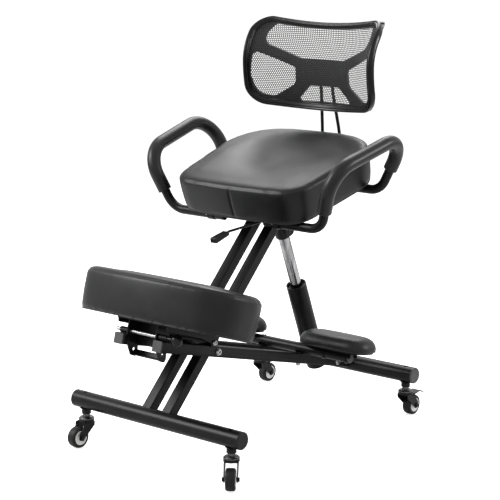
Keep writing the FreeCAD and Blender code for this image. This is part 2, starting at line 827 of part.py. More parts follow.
def bent_tube(points, radii, across):
    # round bar along straight runs joined by tangent bends
    pieces = []
    start = points[0]
    for i in range(1, len(points) - 1):
        here = points[i]
        back = (points[i - 1] - here).normalize()
        ahead = (points[i + 1] - here).normalize()
        half = back.getAngle(ahead) / 2
        reach = radii[i - 1] / math.tan(half)
        enter = here + back * reach
        centre = here + (back + ahead).normalize() * (radii[i - 1] / math.sin(half))
        pieces.append(Part.makeCylinder(across / 2, (enter - start).Length, start, enter - start))
        disc = Part.Face(Part.Wire(Part.makeCircle(across / 2, enter, back)))
        turn = 180 - math.degrees(2 * half)
        pieces.append(disc.revolve(centre, ahead.cross(back), turn))
        start = here + ahead * reach
    last = points[-1]
    pieces.append(Part.makeCylinder(across / 2, (last - start).Length, start, last - start))
    return pieces[0].fuse(pieces[1:])


def seat_point(x, v, w):
    return seat_place.multVec(Vector(x, v, w))


handle_radius = m.handle_across / 2
handle_under = -handle_radius - m.saddle_thick


def seat_run(depth):
    return (depth - m.seat_front) / math.cos(math.radians(m.seat_pitch))


def under_seat(x, depth, drop):
    return seat_point(x, seat_run(depth), drop)


def handle_points(sign):
    return [under_seat(sign * m.handle_in, m.handle_front_depth, handle_under),
            under_seat(sign * m.handle_low_out, m.handle_front_depth, handle_under),
            at(sign * m.handle_front_out, m.handle_top_front, m.handle_front_top),
            at(sign * m.handle_rear_out, m.handle_top_rear, m.handle_rear_top),
            under_seat(sign * m.handle_foot_out, m.handle_rear_depth, handle_under),
            under_seat(sign * m.handle_in, m.handle_rear_depth, handle_under)]


handle_radii = [m.handle_bend_low, m.handle_bend_front, m.handle_bend_rear, m.handle_bend_foot]


def handle(sign):
    points = handle_points(sign)
    outside = bent_tube(points, handle_radii, m.handle_across)
    return outside.cut(bent_tube(points, handle_radii, m.handle_across - 2 * m.handle_wall))


def grip(sign):
    points = handle_points(sign)
    first = points[1] + (points[2] - points[1]) * 0.32
    last = points[4] + (points[3] - points[4]) * 0.36
    bends = [first, points[2], points[3], last]
    core = bent_tube(bends, handle_radii[1:3], m.handle_across + 2 * m.soft_gap)
    return bent_tube(bends, handle_radii[1:3], m.grip_across).cut(core)


tubes = [shaped("handle_tube", handle(sign)) for sign in (-1, 1)]
keep(group("handle_tubes", tubes))
grips = [shaped("handle_grip", grip(sign)) for sign in (-1, 1)]
keep(group("handle_grips", grips))


def saddle(x, depth):
    # strap over a handle tube, screwed up into the board
    run = seat_run(depth)
    inside = handle_radius + m.fit_gap
    outside = inside + m.saddle_thick
    tab = outside + 14
    middle = handle_under
    body = new_body("saddle")
    places = [Vector(run - tab, 0, 0), Vector(run - tab, -m.saddle_thick, 0),
              Vector(run - outside, -m.saddle_thick, 0), Vector(run - outside, middle, 0),
              Vector(run, middle - outside, 0), Vector(run + outside, middle, 0),
              Vector(run + outside, -m.saddle_thick, 0), Vector(run + tab, -m.saddle_thick, 0),
              Vector(run + tab, 0, 0), Vector(run + inside, 0, 0), Vector(run + inside, middle, 0),
              Vector(run, middle - inside, 0), Vector(run - inside, middle, 0), Vector(run - inside, 0, 0)]
    line = Part.LineSegment
    loop = [line(places[0], places[1]), line(places[1], places[2]), line(places[2], places[3]),
            Part.Arc(places[3], places[4], places[5]), line(places[5], places[6]),
            line(places[6], places[7]), line(places[7], places[8]), line(places[8], places[9]),
            line(places[9], places[10]), Part.Arc(places[10], places[11], places[12]),
            line(places[12], places[13]), line(places[13], places[0])]
    pad(body, sketch_on(body, "YZ_Plane", [loop], x), "Sizes.saddle_width")
    body.Placement = seat_place
    return body


saddles = []
for depth in (m.handle_front_depth, m.handle_rear_depth):
    saddles += [saddle(sign * m.saddle_out, depth) for sign in (-1, 1)]
keep(group("handle_saddles", saddles))


def screw(label, place, x, v, w):
    # pan head that bears on the underside of a plate
    body = spun(label, [(0, -2.6), (3, -2.6), (4.5, -1.2), (4.5, 0), (0, 0)])
    body.Placement = place.multiply(Placement(Vector(x, v, w), upright))
    return body


screws = []
for sign in (-1, 1):
    for run in (m.mount_front + 12, clamp_start - 14):
        screws.append(screw("seat_screw", seat_place, sign * (m.mount_half_width - 16), run, -m.sheet_thick))
    for depth in (m.handle_front_depth, m.handle_rear_depth):
        for step in (-1, 1):
            reach = handle_radius + m.saddle_thick + 8
            screws.append(screw("seat_screw", seat_place, sign * m.saddle_out,
                                seat_run(depth) + step * reach, -m.saddle_thick))
keep(group("seat_screws", screws))


# Release lever between the legs, with its pin, paddle and grip

pin_outside = leg_outside
lever_pin = spun("lever_pin", [(0, -pin_outside - 2), (m.lever_rod_across / 2, -pin_outside - 2),
                               (m.lever_rod_across / 2, pin_outside + 0.1),
                               (m.lever_rod_across * 0.8, pin_outside + 0.1),
                               (m.lever_rod_across * 0.8, pin_outside + 2), (0, pin_outside + 2)])
lever_pin.Placement = Placement(at(0, *lever_pivot), along_x)
keep(lever_pin)

lever_tip = (m.lever_tip_depth, m.lever_tip_height)
button_spot = along(gas_low, 90 + gas_lean, button_top + m.paddle_gap)


def release_lever():
    radius = m.lever_rod_across / 2
    bush_radius = m.lever_bush_across / 2
    start = along(lever_tip, 14, m.lever_grip_length * 0.4)
    knee = along(lever_tip, 14, m.lever_grip_length + 8)
    stop = Vector(*at(0, *lever_pivot))
    rod = bent_tube([at(0, *start), at(0, *knee), stop], [40], m.lever_rod_across)
    bush = Part.makeCylinder(bush_radius, m.lever_bush_length,
                             at(-m.lever_bush_length / 2, *lever_pivot), Vector(1, 0, 0))
    bore = Part.makeCylinder(radius + m.fit_gap, m.lever_bush_length,
                             at(-m.lever_bush_length / 2, *lever_pivot), Vector(1, 0, 0))
    reach = m.lever_paddle / 2
    heading = gas_lean
    low_front = along(button_spot, heading, -reach)
    low_back = along(button_spot, heading, reach)
    high_back = along(low_back, heading, 0, 3)
    high_front = along(low_front, heading, 0, 3)
    hub_top = along(lever_pivot, 90, bush_radius)
    hub_low = along(lever_pivot, 20, bush_radius * 0.8)
    loop = [at(0, *p) for p in (hub_top, hub_low, low_front, low_back, high_back, high_front, hub_top)]
    face = Part.Face(Part.makePolygon(loop))
    width = m.lever_bush_length * 0.6
    arm = face.extrude(Vector(width, 0, 0))
    arm.translate(Vector(-width / 2, 0, 0))
    return keep(shaped("release_lever", rod.fuse(bush).fuse(arm).cut(bore)))


release_lever()


def lever_grip():
    body = new_body("lever_grip")
    tall, wide, length = m.lever_grip_tall / 2, m.lever_grip_wide / 2, m.lever_grip_length
    loop = rounded([(0, -tall, 3), (length, -tall * 0.7, 3), (length, tall * 0.7, 3), (0, tall, 3)])
    pad(body, sketch_on(body, "YZ_Plane", [loop]), "Sizes.lever_grip_wide")
    hole = circle(0, 0, m.lever_rod_across / 2 + m.fit_gap)
    sketch = sketch_on(body, "XZ_Plane", [hole], -length)
    cut = pocket(body, sketch, "Sizes.lever_grip_length * 1.2")
    body.Placement = Placement(at(0, *lever_tip), tilted(14))
    return keep(body)


lever_grip()


# Knee rest: hinge tube on the arms, folded bracket, board, cushion and clamp rod

half_tube = m.knee_tube_length / 2
keep(ring("knee_hinge_tube", knee_pivot, -half_tube, half_tube, m.knee_tube_across / 2,
          m.knee_bolt_across / 2 + m.fit_gap))
ear_inside = arm_outside + m.ear_gap
ear_outside = ear_inside + m.sheet_thick
keep(group("knee_hinge_bolt", cross_bolt("knee_hinge", knee_pivot, m.knee_bolt_across,
                                         ear_outside + m.ear_gap)))

knee_origin = (m.knee_front, m.knee_low)
knee_place = Placement(at(0, *knee_origin), tilted(-m.knee_pitch))
rod_spot = (m.rod_depth, arm_line(m.rod_depth, half_side + m.sleeve_across / 2 + 0.05))


def knee_bracket():
    body = new_body("knee_bracket")
    thick = m.sheet_thick
    pitch = -m.knee_pitch
    hinge = to_local(knee_pivot, knee_origin, pitch)
    rod = to_local(rod_spot, knee_origin, pitch)
    front = rod[0] - 22
    back = hinge[0] + 18
    width = ear_outside
    top = rounded([(-width, front, 8), (width, front, 8), (width, back, 8), (-width, back, 8)])
    slot = rounded([(-26, front + 40, 12), (26, front + 40, 12), (26, back - 30, 12), (-26, back - 30, 12)])
    pad(body, sketch_on(body, "XY_Plane", [top, slot], -thick), "Sizes.sheet_thick", both_ways=False)
    under = -thick / 2
    # side flanges deepen into ears at the hinge
    ear = 11.0
    flange = rounded([(front + 6, under, 0), (front + 10, -m.knee_flange, 4),
                      (hinge[0] - 42, -m.knee_flange, 20), (hinge[0] - ear, hinge[1] - 2, 4),
                      (hinge[0] - ear * 0.6, hinge[1] - ear, 5), (hinge[0] + ear, hinge[1] - ear, 7),
                      (back - 4, under, 0)])
    bore = circle(*hinge, m.knee_bolt_across / 2 + m.fit_gap)
    for sign in (-1, 1):
        sketch = sketch_on(body, "YZ_Plane", [flange, bore], sign * (ear_inside + thick / 2))
        pad(body, sketch, "Sizes.sheet_thick")
    # two cheeks between the arms, with a row of holes for the clamp rod
    low = to_local((m.rod_depth + 8, m.knee_cheek_low), knee_origin, pitch)
    near, far = rod[0] - 11, rod[0] + m.knee_cheek_width - 11
    cheek = rounded([(near, under, 0), (near, rod[1] - 18, 12), (low[0] - 12, low[1] + 3, 8),
                     (low[0] + 11, low[1] + 1, 8), (far, rod[1] - 20, 12), (far, under, 0)])
    holes = []
    for step in range(3):
        spot = (rod[0] + m.hole_step * step, rod[1] - m.hole_pitch * step)
        holes.append(circle(*spot, m.rod_across / 2 + m.fit_gap))
    for sign in (-1, 1):
        sketch = sketch_on(body, "YZ_Plane", [cheek] + holes, sign * m.knee_cheek_out)
        pad(body, sketch, "Sizes.sheet_thick")
    # rear web between the cheeks, and the folded lip that joins them below
    web_at = far - thick
    inner = m.knee_cheek_out
    web = rounded([(-inner, under, 0), (inner, under, 0), (inner, rod[1] - 26, 0), (-inner, rod[1] - 26, 0)])
    sketch = sketch_on(body, "XZ_Plane", [web], -web_at - thick / 2)
    pad(body, sketch, "Sizes.sheet_thick")
    lip = rounded([(low[0] - 7, low[1] + 4, 1), (low[0] + 7, low[1] + 3, 3), (low[0] + 9, low[1] + 18, 1),
                   (low[0] + 6, low[1] + 18, 1), (low[0] + 4, low[1] + 7, 2), (low[0] - 7, low[1] + 7, 1)])
    pad(body, sketch_on(body, "YZ_Plane", [lip]), "2 * Sizes.knee_cheek_out")
    body.Placement = knee_place
    return keep(body)


knee_bracket()
keep(shaped("knee_board", slab(knee_plan, m.board_inset, 0, m.knee_board_thick), knee_place))
keep(shaped("knee_cushion", cushion(knee_plan, m.knee_edge, m.knee_thick, m.knee_board_thick, 4.0),
            knee_place))

knee_screws = []
hinge_run = to_local(knee_pivot, knee_origin, -m.knee_pitch)[0]
for sign in (-1, 1):
    for run in (hinge_run - 130, hinge_run - 45, hinge_run + 8):
        knee_screws.append(screw("knee_screw", knee_place, sign * 56, run, -m.sheet_thick))
keep(group("knee_screws", knee_screws))

rod_radius = m.rod_across / 2
clamp_rod = spun("clamp_rod_bar", [(0, -m.rod_far_end), (rod_radius - 1, -m.rod_far_end),
                                   (rod_radius, -m.rod_far_end + 1), (rod_radius, m.knob_out - 6),
                                   (0, m.knob_out - 6)])
clamp_rod.Placement = Placement(at(0, *rod_spot), along_x)
keep(group("clamp_rod", [clamp_rod]))
sleeves = []
for sign in (-1, 1):
    inner_end = arm_out - m.sleeve_length / 2
    ends = sorted((sign * inner_end, sign * (inner_end + m.sleeve_length)))
    sleeves.append(ring("rod_sleeve", rod_spot, *ends, m.sleeve_across / 2, rod_radius + m.fit_gap))
keep(group("rod_sleeves", sleeves))


def clamp_knob():
    radius = m.knob_across / 2
    neck = 6.5
    body = new_body("clamp_knob")
    # ball with a neck, bored for the rod
    run = math.sqrt(radius ** 2 - neck ** 2)
    back = -radius - m.knob_neck
    bore = rod_radius + m.fit_gap
    points = [Vector(bore, back, 0), Vector(neck, back, 0), Vector(neck, -run, 0), Vector(radius, 0, 0),
              Vector(0, radius, 0), Vector(0, -5.5, 0), Vector(bore, -5.5, 0)]
    elbow = Vector(radius * math.cos(math.radians(45)), radius * math.sin(math.radians(45)), 0)
    dip = (math.atan2(-run, neck)) / 2
    waist = Vector(radius * math.cos(dip), radius * math.sin(dip), 0)
    line = Part.LineSegment
    loop = [line(points[0], points[1]), line(points[1], points[2]), Part.Arc(points[2], waist, points[3]),
            Part.Arc(points[3], elbow, points[4]), line(points[4], points[5]), line(points[5], points[6]),
            line(points[6], points[0])]
    sketch = sketch_on(body, "XZ_Plane", [loop])
    turn = body.newObject("PartDesign::Revolution", "knob_turn")
    turn.Profile = sketch
    turn.ReferenceAxis = (sketch, ["V_Axis"])
    turn.Angle = 360
    body.Tip = turn
    body.Placement = Placement(at(m.knob_out, *rod_spot), along_x)
    return keep(body)


clamp_knob()


# Ankle rests on a cross bar that lies on the arms

half_bar = m.ankle_bar_length / 2
bar_wall = m.square_wall


def ankle_bar():
    tube = Part.makeCylinder(bar_radius, 2 * half_bar, at(-half_bar, *bar_spot), Vector(1, 0, 0))
    inner = Part.makeCylinder(bar_radius - bar_wall, 2 * half_bar, at(-half_bar, *bar_spot), Vector(1, 0, 0))
    shape = tube.cut(inner)
    down = Vector(0, -math.sin(math.radians(m.arm_angle)), -math.cos(math.radians(m.arm_angle)))
    for sign in (-1, 1):
        top = at(sign * arm_out, *bar_spot) - down * 30
        shape = shape.cut(Part.makeCylinder(m.ankle_bolt_across / 2 + m.fit_gap, 60, top, down))
    return keep(shaped("ankle_bar", shape))


ankle_bar()


def bar_bolt(x):
    # vertical bolt that holds the bar on one arm, with its nut underneath
    radius = m.ankle_bolt_across / 2
    head_low = bar_radius + m.fit_gap
    nut_top = -bar_radius - m.square_side - m.fit_gap
    bolt = spun("bar_bolt_shank", [(0, nut_top - 7), (radius, nut_top - 7), (radius, head_low),
                                   (radius * 1.8, head_low), (radius * 1.8, head_low + 1.4),
                                   (radius * 1.2, head_low + 2.6), (0, head_low + 2.6)])
    nut = new_body("bar_bolt_nut")
    face = [hexagon(m.ankle_bolt_across * 1.7), circle(0, 0, radius + m.fit_gap)]
    sketch = sketch_on(nut, "XY_Plane", face, nut_top - m.bolt_head_thick)
    pad(nut, sketch, "Sizes.bolt_head_thick", both_ways=False)
    for piece in (bolt, nut):
        piece.Placement = Placement(at(x, *bar_spot), tilted(-m.arm_angle))
    return [bolt, nut]


keep(group("ankle_bar_bolts", bar_bolt(-arm_out) + bar_bolt(arm_out)))
bar_caps = [round_cap("bar_cap", m.ankle_bar_across, bar_wall, sign * half_bar, *bar_spot)
            for sign in (-1, 1)]
keep(group("rear_frame_caps", rear_caps + arm_caps + bar_caps))


def ankle_mount(sign):
    # board on a saddle over the bar, held by two wire clips
    board_low = bar_radius + 3.2
    middle = sign * m.ankle_out
    length = m.ankle_saddle_length
    inner, outer = bar_radius + m.soft_gap, bar_radius + 3.0
    place = Placement(at(middle, *bar_spot), tilted(-m.ankle_pitch))
    board = slab(ankle_plan, m.board_inset, board_low, board_low + m.ankle_board_thick)
    board.translate(Vector(0, -m.ankle_depth / 2, 0))
    shell = Part.makeCylinder(outer, length, Vector(-length / 2, 0, 0), Vector(1, 0, 0))
    lug = Part.makeBox(length, 18, board_low, Vector(-length / 2, -9, 0))
    lower = Part.makeBox(length + 2, 4 * outer, 2 * outer, Vector(-length / 2 - 1, -2 * outer, -2 * outer))
    bore = Part.makeCylinder(inner, length + 2, Vector(-length / 2 - 1, 0, 0), Vector(1, 0, 0))
    return board.fuse(shell.fuse(lug).cut(lower)).cut(bore), place


def ankle_cushion(label, sign):
    board_low = bar_radius + 3.2
    rise = m.ankle_thick
    layers = [(3, 0), (0, rise * 0.22), (2, rise * 0.5), (10, rise * 0.78), (22, rise * 0.94), (38, rise)]
    form = padded_form(ankle_plan, layers)
    form = form.cut(slab(ankle_plan, m.board_inset - m.soft_gap, -1, m.ankle_board_thick + m.soft_gap))
    form.translate(Vector(0, -m.ankle_depth / 2, board_low))
    return keep(shaped(label, form, Placement(at(sign * m.ankle_out, *bar_spot), tilted(-m.ankle_pitch))))


def ankle_clips(sign):
    # steel straps under the bar that hold the mount to it
    outer = bar_radius + m.soft_gap + m.clip_thick
    straps = []
    for step in (-1, 1):
        start = step * m.clip_apart / 2 - m.clip_width / 2
        whole = Part.makeCylinder(outer, m.clip_width, Vector(start, 0, 0), Vector(1, 0, 0))
        hole = Part.makeCylinder(bar_radius + m.soft_gap, m.clip_width, Vector(start, 0, 0), Vector(1, 0, 0))
        upper = Part.makeBox(m.clip_width, 4 * outer, outer + 1, Vector(start, -2 * outer, 0))
        place = Placement(at(sign * m.ankle_out, *bar_spot), tilted(-m.ankle_pitch))
        straps.append(shaped("ankle_strap", whole.cut(hole).cut(upper), place))
    return straps


for side_name, sign in (("left", -1), ("right", 1)):
    seat = shaped("ankle_seat", *ankle_mount(sign))
    keep(group(side_name + "_ankle_mount", [seat] + ankle_clips(sign)))
    ankle_cushion(side_name + "_ankle_cushion", sign)


# Backrest: curved slab cut to shape, on two sprung rods

def back_slab(radius, behind, thick):
    # S-shaped profile turned about an upright axis in front of the back
    axis_depth = m.back_middle_depth + behind - radius
    height = m.back_middle_height
    front_r, back_r = thick / 2, -thick / 2
    upper, lower = m.back_upper_radius, m.back_lower_radius
    spread_up, spread_down = math.radians(66), math.radians(24)

    def spot(big, offset, angle):
        reach = big + offset
        return Vector(radius + big - reach * math.cos(angle), 0, height + reach * math.sin(angle))

    edges = []
    for first, second, offset in (((upper, spread_up), (lower, -spread_down), front_r),
                                  ((lower, -spread_down), (upper, spread_up), back_r)):
        for big, angle in (first, second):
            ends = [spot(big, offset, angle), spot(big, offset, 0)]
            if (big, angle) == second:
                ends.reverse()
            edges.append(Part.Arc(ends[0], spot(big, offset, angle / 2), ends[1]).toShape())
    edges.insert(2, Part.LineSegment(spot(lower, front_r, -spread_down),
                                     spot(lower, back_r, -spread_down)).toShape())
    edges.append(Part.LineSegment(spot(upper, back_r, spread_up), spot(upper, front_r, spread_up)).toShape())
    face = Part.Face(Part.Wire(edges))
    solid = face.revolve(Vector(0, 0, 0), Vector(0, 0, 1), 100)
    solid.rotate(Vector(0, 0, 0), Vector(0, 0, 1), 40)
    solid.translate(at(0, axis_depth, 0))
    return solid


def back_prism(inset):
    half = m.back_half_width - inset
    top = m.back_top - inset
    bottom = m.back_bottom + inset
    start = m.back_middle_depth - 150
    corners = [at(-half, start, top), at(half, start, top), at(half, start, bottom), at(-half, start, bottom)]
    edges = [Part.Arc(corners[0], at(0, start, top - m.back_top_sag), corners[1]).toShape(),
             Part.LineSegment(corners[1], corners[2]).toShape(),
             Part.Arc(corners[2], at(0, start, bottom - m.back_bottom_bulge), corners[3]).toShape(),
             Part.LineSegment(corners[3], corners[0]).toShape()]
    solid = Part.Face(Part.Wire(edges)).extrude(Vector(0, 300, 0))

    def upright_edges(shape, level):
        found = []
        for edge in shape.Edges:
            box = edge.BoundBox
            if box.YLength > 299 and abs(box.Center.z - level) < 1:
                found.append(edge)
        return found

    solid = solid.makeFillet(m.back_top_corner - inset * 0.8, upright_edges(solid, top))
    return solid.makeFillet(m.back_bottom_corner - inset * 0.8, upright_edges(solid, bottom))


frame_ring = back_prism(0).cut(back_prism(m.bead_width))
back_frame = back_slab(m.back_wing_radius, 0, m.bead_deep).common(frame_ring)
keep(shaped("back_frame", back_frame))
mesh_area = back_prism(m.bead_width + m.soft_gap)
keep(shaped("back_mesh", back_slab(m.back_wing_radius, 0, m.mesh_thick).common(mesh_area)))


def window(corners):
    loop = [edge.toShape() for edge in rounded(corners)]
    face = Part.Face(Part.Wire(loop))
    face.rotate(Vector(0, 0, 0), Vector(1, 0, 0), 90)
    face.translate(at(0, m.back_middle_depth + 300, 0))
    return face.extrude(Vector(0, -400, 0))


def back_carrier():
    half, top, bottom = m.carrier_half_plate, m.carrier_plate_top, m.carrier_plate_bottom
    area = back_prism(3)
    upper = window([(-half * 0.8, top, 40), (half * 0.8, top, 40), (165, 912, 26), (150, 955, 14),
                    (0, 951, 200), (-150, 955, 14), (-165, 912, 26)])
    lower = window([(-45, bottom, 6), (45, bottom, 6), (85, 766, 6), (-85, 766, 6)])
    area = area.cut(upper).cut(lower)
    for sign in (-1, 1):
        corners = [(sign * half, bottom + 4, 14), (sign * (half - 2), top - 22, 8), (sign * 176, 892, 12),
                   (sign * 181, 830, 40), (sign * 172, 785, 30), (sign * 135, 776, 16)]
        area = area.cut(window(corners if sign > 0 else corners[::-1]))
    plate = back_slab(m.carrier_radius, m.carrier_back, m.carrier_thick).common(area)
    # the plate ends behind the frame and the mesh
    plate = plate.cut(back_slab(m.back_wing_radius, m.soft_gap - 15, 30 + m.mesh_thick))
    for other in [back_frame] + rods:
        plate = plate.cut(other)
    return max(plate.Solids, key=lambda solid: solid.Volume)


rod_top = m.carrier_plate_top - 25
carrier_front = m.back_middle_depth + m.carrier_back


def back_rod(sign):
    low_run = clamp_start - 12
    behind = carrier_front + 34
    low_out, top_out = m.back_rod_low_out, m.back_rod_top_out
    points = [seat_point(sign * low_out, low_run, rod_line),
              seat_point(sign * low_out, seat_run(behind), rod_line),
              at(sign * (low_out - 7), behind - 7, 705),
              at(sign * top_out, carrier_front + 12, 790),
              at(sign * top_out, carrier_front + 4.2, rod_top)]
    return bent_tube(points, [m.back_rod_bend, 160, 120], m.back_rod_across)


rods = [back_rod(sign) for sign in (-1, 1)]
keep(shaped("back_carrier", back_carrier()))
keep(group("back_rods", [shaped("back_rod", rod) for rod in rods]))


# Casters: stem with upper race, swivelling fork, axle bolt, hub, tread and brake pedal

def stem(x, depth):
    race = m.race_across / 2
    radius = m.stem_across / 2
    nut = radius + 3
    top = m.boss_bottom
    body = spun("stem", [(0, m.race_bottom), (race, m.race_bottom), (race, m.race_bottom + 2.5),
                         (race - 3, m.race_bottom + 5), (nut, m.race_bottom + 6), (nut, top),
                         (radius, top), (radius, m.stem_top - 1), (radius - 1, m.stem_top), (0, m.stem_top)])
    body.Placement = Placement(at(x, depth, 0), upright)
    return body


def caster_place(x, depth, degrees):
    return Placement(at(x, depth, 0), Rotation(Vector(0, 0, 1), degrees))


def caster(prefix, x, depth, degrees, brake):
    # local X runs from the stem towards the axle, local Y along the axle
    place = caster_place(x, depth, degrees)
    radius = m.wheel_across / 2
    inside, sheet_t = m.fork_half_inside, m.fork_sheet
    outside = inside + sheet_t
    trail = m.caster_trail
    race = m.race_across / 2
    crown = m.fork_crown
    race_top = m.race_bottom - 0.4
    fork = new_body(prefix + "_fork_body")
    crown_face = rounded([(-race * 0.72, -outside, 5), (race * 0.9, -outside, 3), (race * 0.9, outside, 3),
                          (-race * 0.72, outside, 5)])
    pad(fork, sketch_on(fork, "XY_Plane", [crown_face], crown), "Sizes.fork_sheet", both_ways=False)
    dish = [circle(0, 0, race)]
    height = race_top - crown
    pad(fork, sketch_on(fork, "XY_Plane", dish, crown), f"{height}", both_ways=False)
    lobe = 8.5
    leg = rounded([(-race * 0.72, crown + 1, 2), (-race * 0.62, crown - 9, 6),
                   (trail - lobe, radius - 2, 3), (trail - lobe * 0.4, radius - lobe, 5),
                   (trail + lobe * 0.9, radius - lobe * 0.6, 6), (trail + lobe, radius + 6, 4),
                   (race * 1.2, crown - 9, 6), (race * 1.15, crown + 1, 3)])
    holes = [circle(trail, radius, m.axle_across / 2 + m.fit_gap)]
    if brake:
        holes.append(circle(m.pedal_pin_run, m.pedal_pin_height, m.pedal_pin_across / 2 + m.fit_gap))
    for sign in (-1, 1):
        sketch = sketch_on(fork, "XZ_Plane", [leg] + holes, sign * (inside + sheet_t / 2))
        pad(fork, sketch, "Sizes.fork_sheet")
    fork.Placement = place
    axle_r = m.axle_across / 2
    end = outside + m.fit_gap
    axle = spun(prefix + "_axle", [(0, -end - 3.5), (axle_r + 1.6, -end - 3.5), (axle_r + 2, -end - 2.5),
                                   (axle_r + 2, -end), (axle_r, -end), (axle_r, end), (axle_r + 2.2, end),
                                   (axle_r + 2.2, end + 3), (axle_r + 1, end + 4), (0, end + 4)])
    turn = Rotation(Vector(0, 0, 1), Vector(0, 1, 0))
    across = Placement(Vector(trail, 0, radius), turn)
    axle.Placement = place.multiply(across)
    parts = [fork, axle]
    if brake:
        pin_r = m.pedal_pin_across / 2
        pin = spun(prefix + "_pin", [(0, -end - 1.4), (pin_r, -end - 1.4), (pin_r + 1.3, -end), (pin_r, -end),
                                     (pin_r, end), (pin_r + 1.3, end), (pin_r, end + 1.4), (0, end + 1.4)])
        pin.Placement = place.multiply(Placement(Vector(m.pedal_pin_run, 0, m.pedal_pin_height), turn))
        parts.append(pin)
    keep(group(prefix + "_fork", parts))
    hub_r, hub_w = m.hub_across / 2, m.hub_width / 2
    bore = axle_r + m.fit_gap
    hub = spun(prefix + "_hub", [(bore, -hub_w), (bore + 3.5, -hub_w), (bore + 4.5, -hub_w + 3),
                                 (hub_r - 3, -hub_w + 3.5), (hub_r - 2, -hub_w + 1.5), (hub_r, -hub_w + 1.5),
                                 (hub_r, hub_w - 1.5), (hub_r - 2, hub_w - 1.5), (hub_r - 3, hub_w - 3.5),
                                 (bore + 4.5, hub_w - 3), (bore + 3.5, hub_w), (bore, hub_w)])
    hub.Placement = place.multiply(across)
    keep(hub)
    half = m.tread_width / 2
    seat_r = hub_r + m.fit_gap
    tread = spun(prefix + "_tread", [(seat_r, -half), (radius - 3.5, -half), (radius - 1, -half + 1.5),
                                     (radius, -half + 5), (radius, half - 5), (radius - 1, half - 1.5),
                                     (radius - 3.5, half), (seat_r, half)])
    tread.Placement = place.multiply(across)
    keep(tread)
    if brake:
        brake_pedal(prefix, place)


def brake_pedal(prefix, place):
    # pedal over the wheel, on a pin between the fork's cheeks
    body = new_body(prefix + "_brake_pedal")
    pin_x, pin_z = m.pedal_pin_run, m.pedal_pin_height
    bore = circle(pin_x, pin_z, m.pedal_pin_across / 2 + m.fit_gap)
    barrel = circle(pin_x, pin_z, m.pedal_barrel / 2)
    pad(body, sketch_on(body, "XZ_Plane", [barrel, bore]), "Sizes.pedal_width")
    base, thick, length = pin_z + 0.2, m.pedal_thick, m.pedal_length
    start = pin_x + m.pedal_pin_across / 2 + 0.8
    loop = rounded([(start, base + thick, 0.5), (start + length * 0.3, base + thick, 6),
                    (start + length * 0.66, base + thick + 3, 12), (start + length, base - 4 + thick, 1),
                    (start + length - 1, base - 4, 1), (start + length * 0.64, base + 2.6, 10),
                    (start + length * 0.3, base, 6), (start, base, 0.5)])
    pad(body, sketch_on(body, "XZ_Plane", [loop]), "Sizes.pedal_width")
    body.Placement = place
    return keep(body)


front_stem_out = m.front_tube_length / 2 - m.front_stem_inset
rear_stem_out = m.rear_tube_length / 2 - m.rear_stem_inset
front_stems = [stem(sign * front_stem_out, 0) for sign in (-1, 1)]
keep(group("front_caster_stems", front_stems))
rear_stems = [stem(sign * rear_stem_out, m.wheel_base) for sign in (-1, 1)]
keep(group("rear_caster_stems", rear_stems))
caster("front_left", -front_stem_out, 0, 266, False)
caster("front_right", front_stem_out, 0, 306, False)
caster("rear_left", -rear_stem_out, m.wheel_base, 88, True)
caster("rear_right", rear_stem_out, m.wheel_base, 90, True)


# Check every object, then write one STEP file for each sub-part

doc.recompute()
for item in doc.Objects:
    if "Invalid" in item.State or "Error" in item.State:
        raise RuntimeError(f"{item.Label} failed: {item.State}")
for piece in nodes:
    if piece.Shape.isNull() or not piece.Shape.isValid():
        raise RuntimeError(f"{piece.Label} has no valid shape")
for piece in nodes:
    piece.Shape.exportStep(os.path.join("parts", piece.Label + ".step"))
print(len(nodes), "sub-parts written")
box = Part.makeCompound([piece.Shape for piece in nodes]).BoundBox
print("lowest", [round(v, 2) for v in (box.XMin, box.YMin, box.ZMin)])
print("highest", [round(v, 2) for v in (box.XMax, box.YMax, box.ZMax)])
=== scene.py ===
import bpy
import bmesh
import json
import math
from mathutils import Matrix, Vector
from mathutils.bvhtree import BVHTree

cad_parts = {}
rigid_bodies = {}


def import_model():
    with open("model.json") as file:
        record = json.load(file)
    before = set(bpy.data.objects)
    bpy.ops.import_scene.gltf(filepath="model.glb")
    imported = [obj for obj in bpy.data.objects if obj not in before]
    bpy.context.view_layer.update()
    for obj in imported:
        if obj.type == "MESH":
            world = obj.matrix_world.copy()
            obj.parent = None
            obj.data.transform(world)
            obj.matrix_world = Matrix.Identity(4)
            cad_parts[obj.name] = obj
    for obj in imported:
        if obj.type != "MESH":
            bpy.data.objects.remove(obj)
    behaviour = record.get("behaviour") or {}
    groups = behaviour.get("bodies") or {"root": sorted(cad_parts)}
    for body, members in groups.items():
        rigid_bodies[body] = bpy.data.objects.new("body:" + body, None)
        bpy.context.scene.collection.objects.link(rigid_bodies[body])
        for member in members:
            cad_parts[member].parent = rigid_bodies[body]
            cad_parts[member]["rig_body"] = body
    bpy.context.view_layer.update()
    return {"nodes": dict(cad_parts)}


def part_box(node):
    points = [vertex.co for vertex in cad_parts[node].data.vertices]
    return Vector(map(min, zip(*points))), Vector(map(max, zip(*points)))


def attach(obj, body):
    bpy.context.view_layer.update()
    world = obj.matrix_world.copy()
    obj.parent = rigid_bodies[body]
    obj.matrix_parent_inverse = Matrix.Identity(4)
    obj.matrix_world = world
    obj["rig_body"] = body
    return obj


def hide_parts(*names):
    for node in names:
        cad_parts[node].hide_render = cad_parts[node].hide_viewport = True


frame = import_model()
nodes = frame["nodes"]
scene = bpy.context.scene
print("frame loaded:", len(nodes), "nodes")


# small tools used all over

def clearSelection():
    if bpy.context.object and bpy.context.object.mode != "OBJECT":
        bpy.ops.object.mode_set(mode="OBJECT")
    bpy.ops.object.select_all(action="DESELECT")


def makeActive(obj):
    clearSelection()
    bpy.context.view_layer.objects.active = obj
    obj.select_set(True)


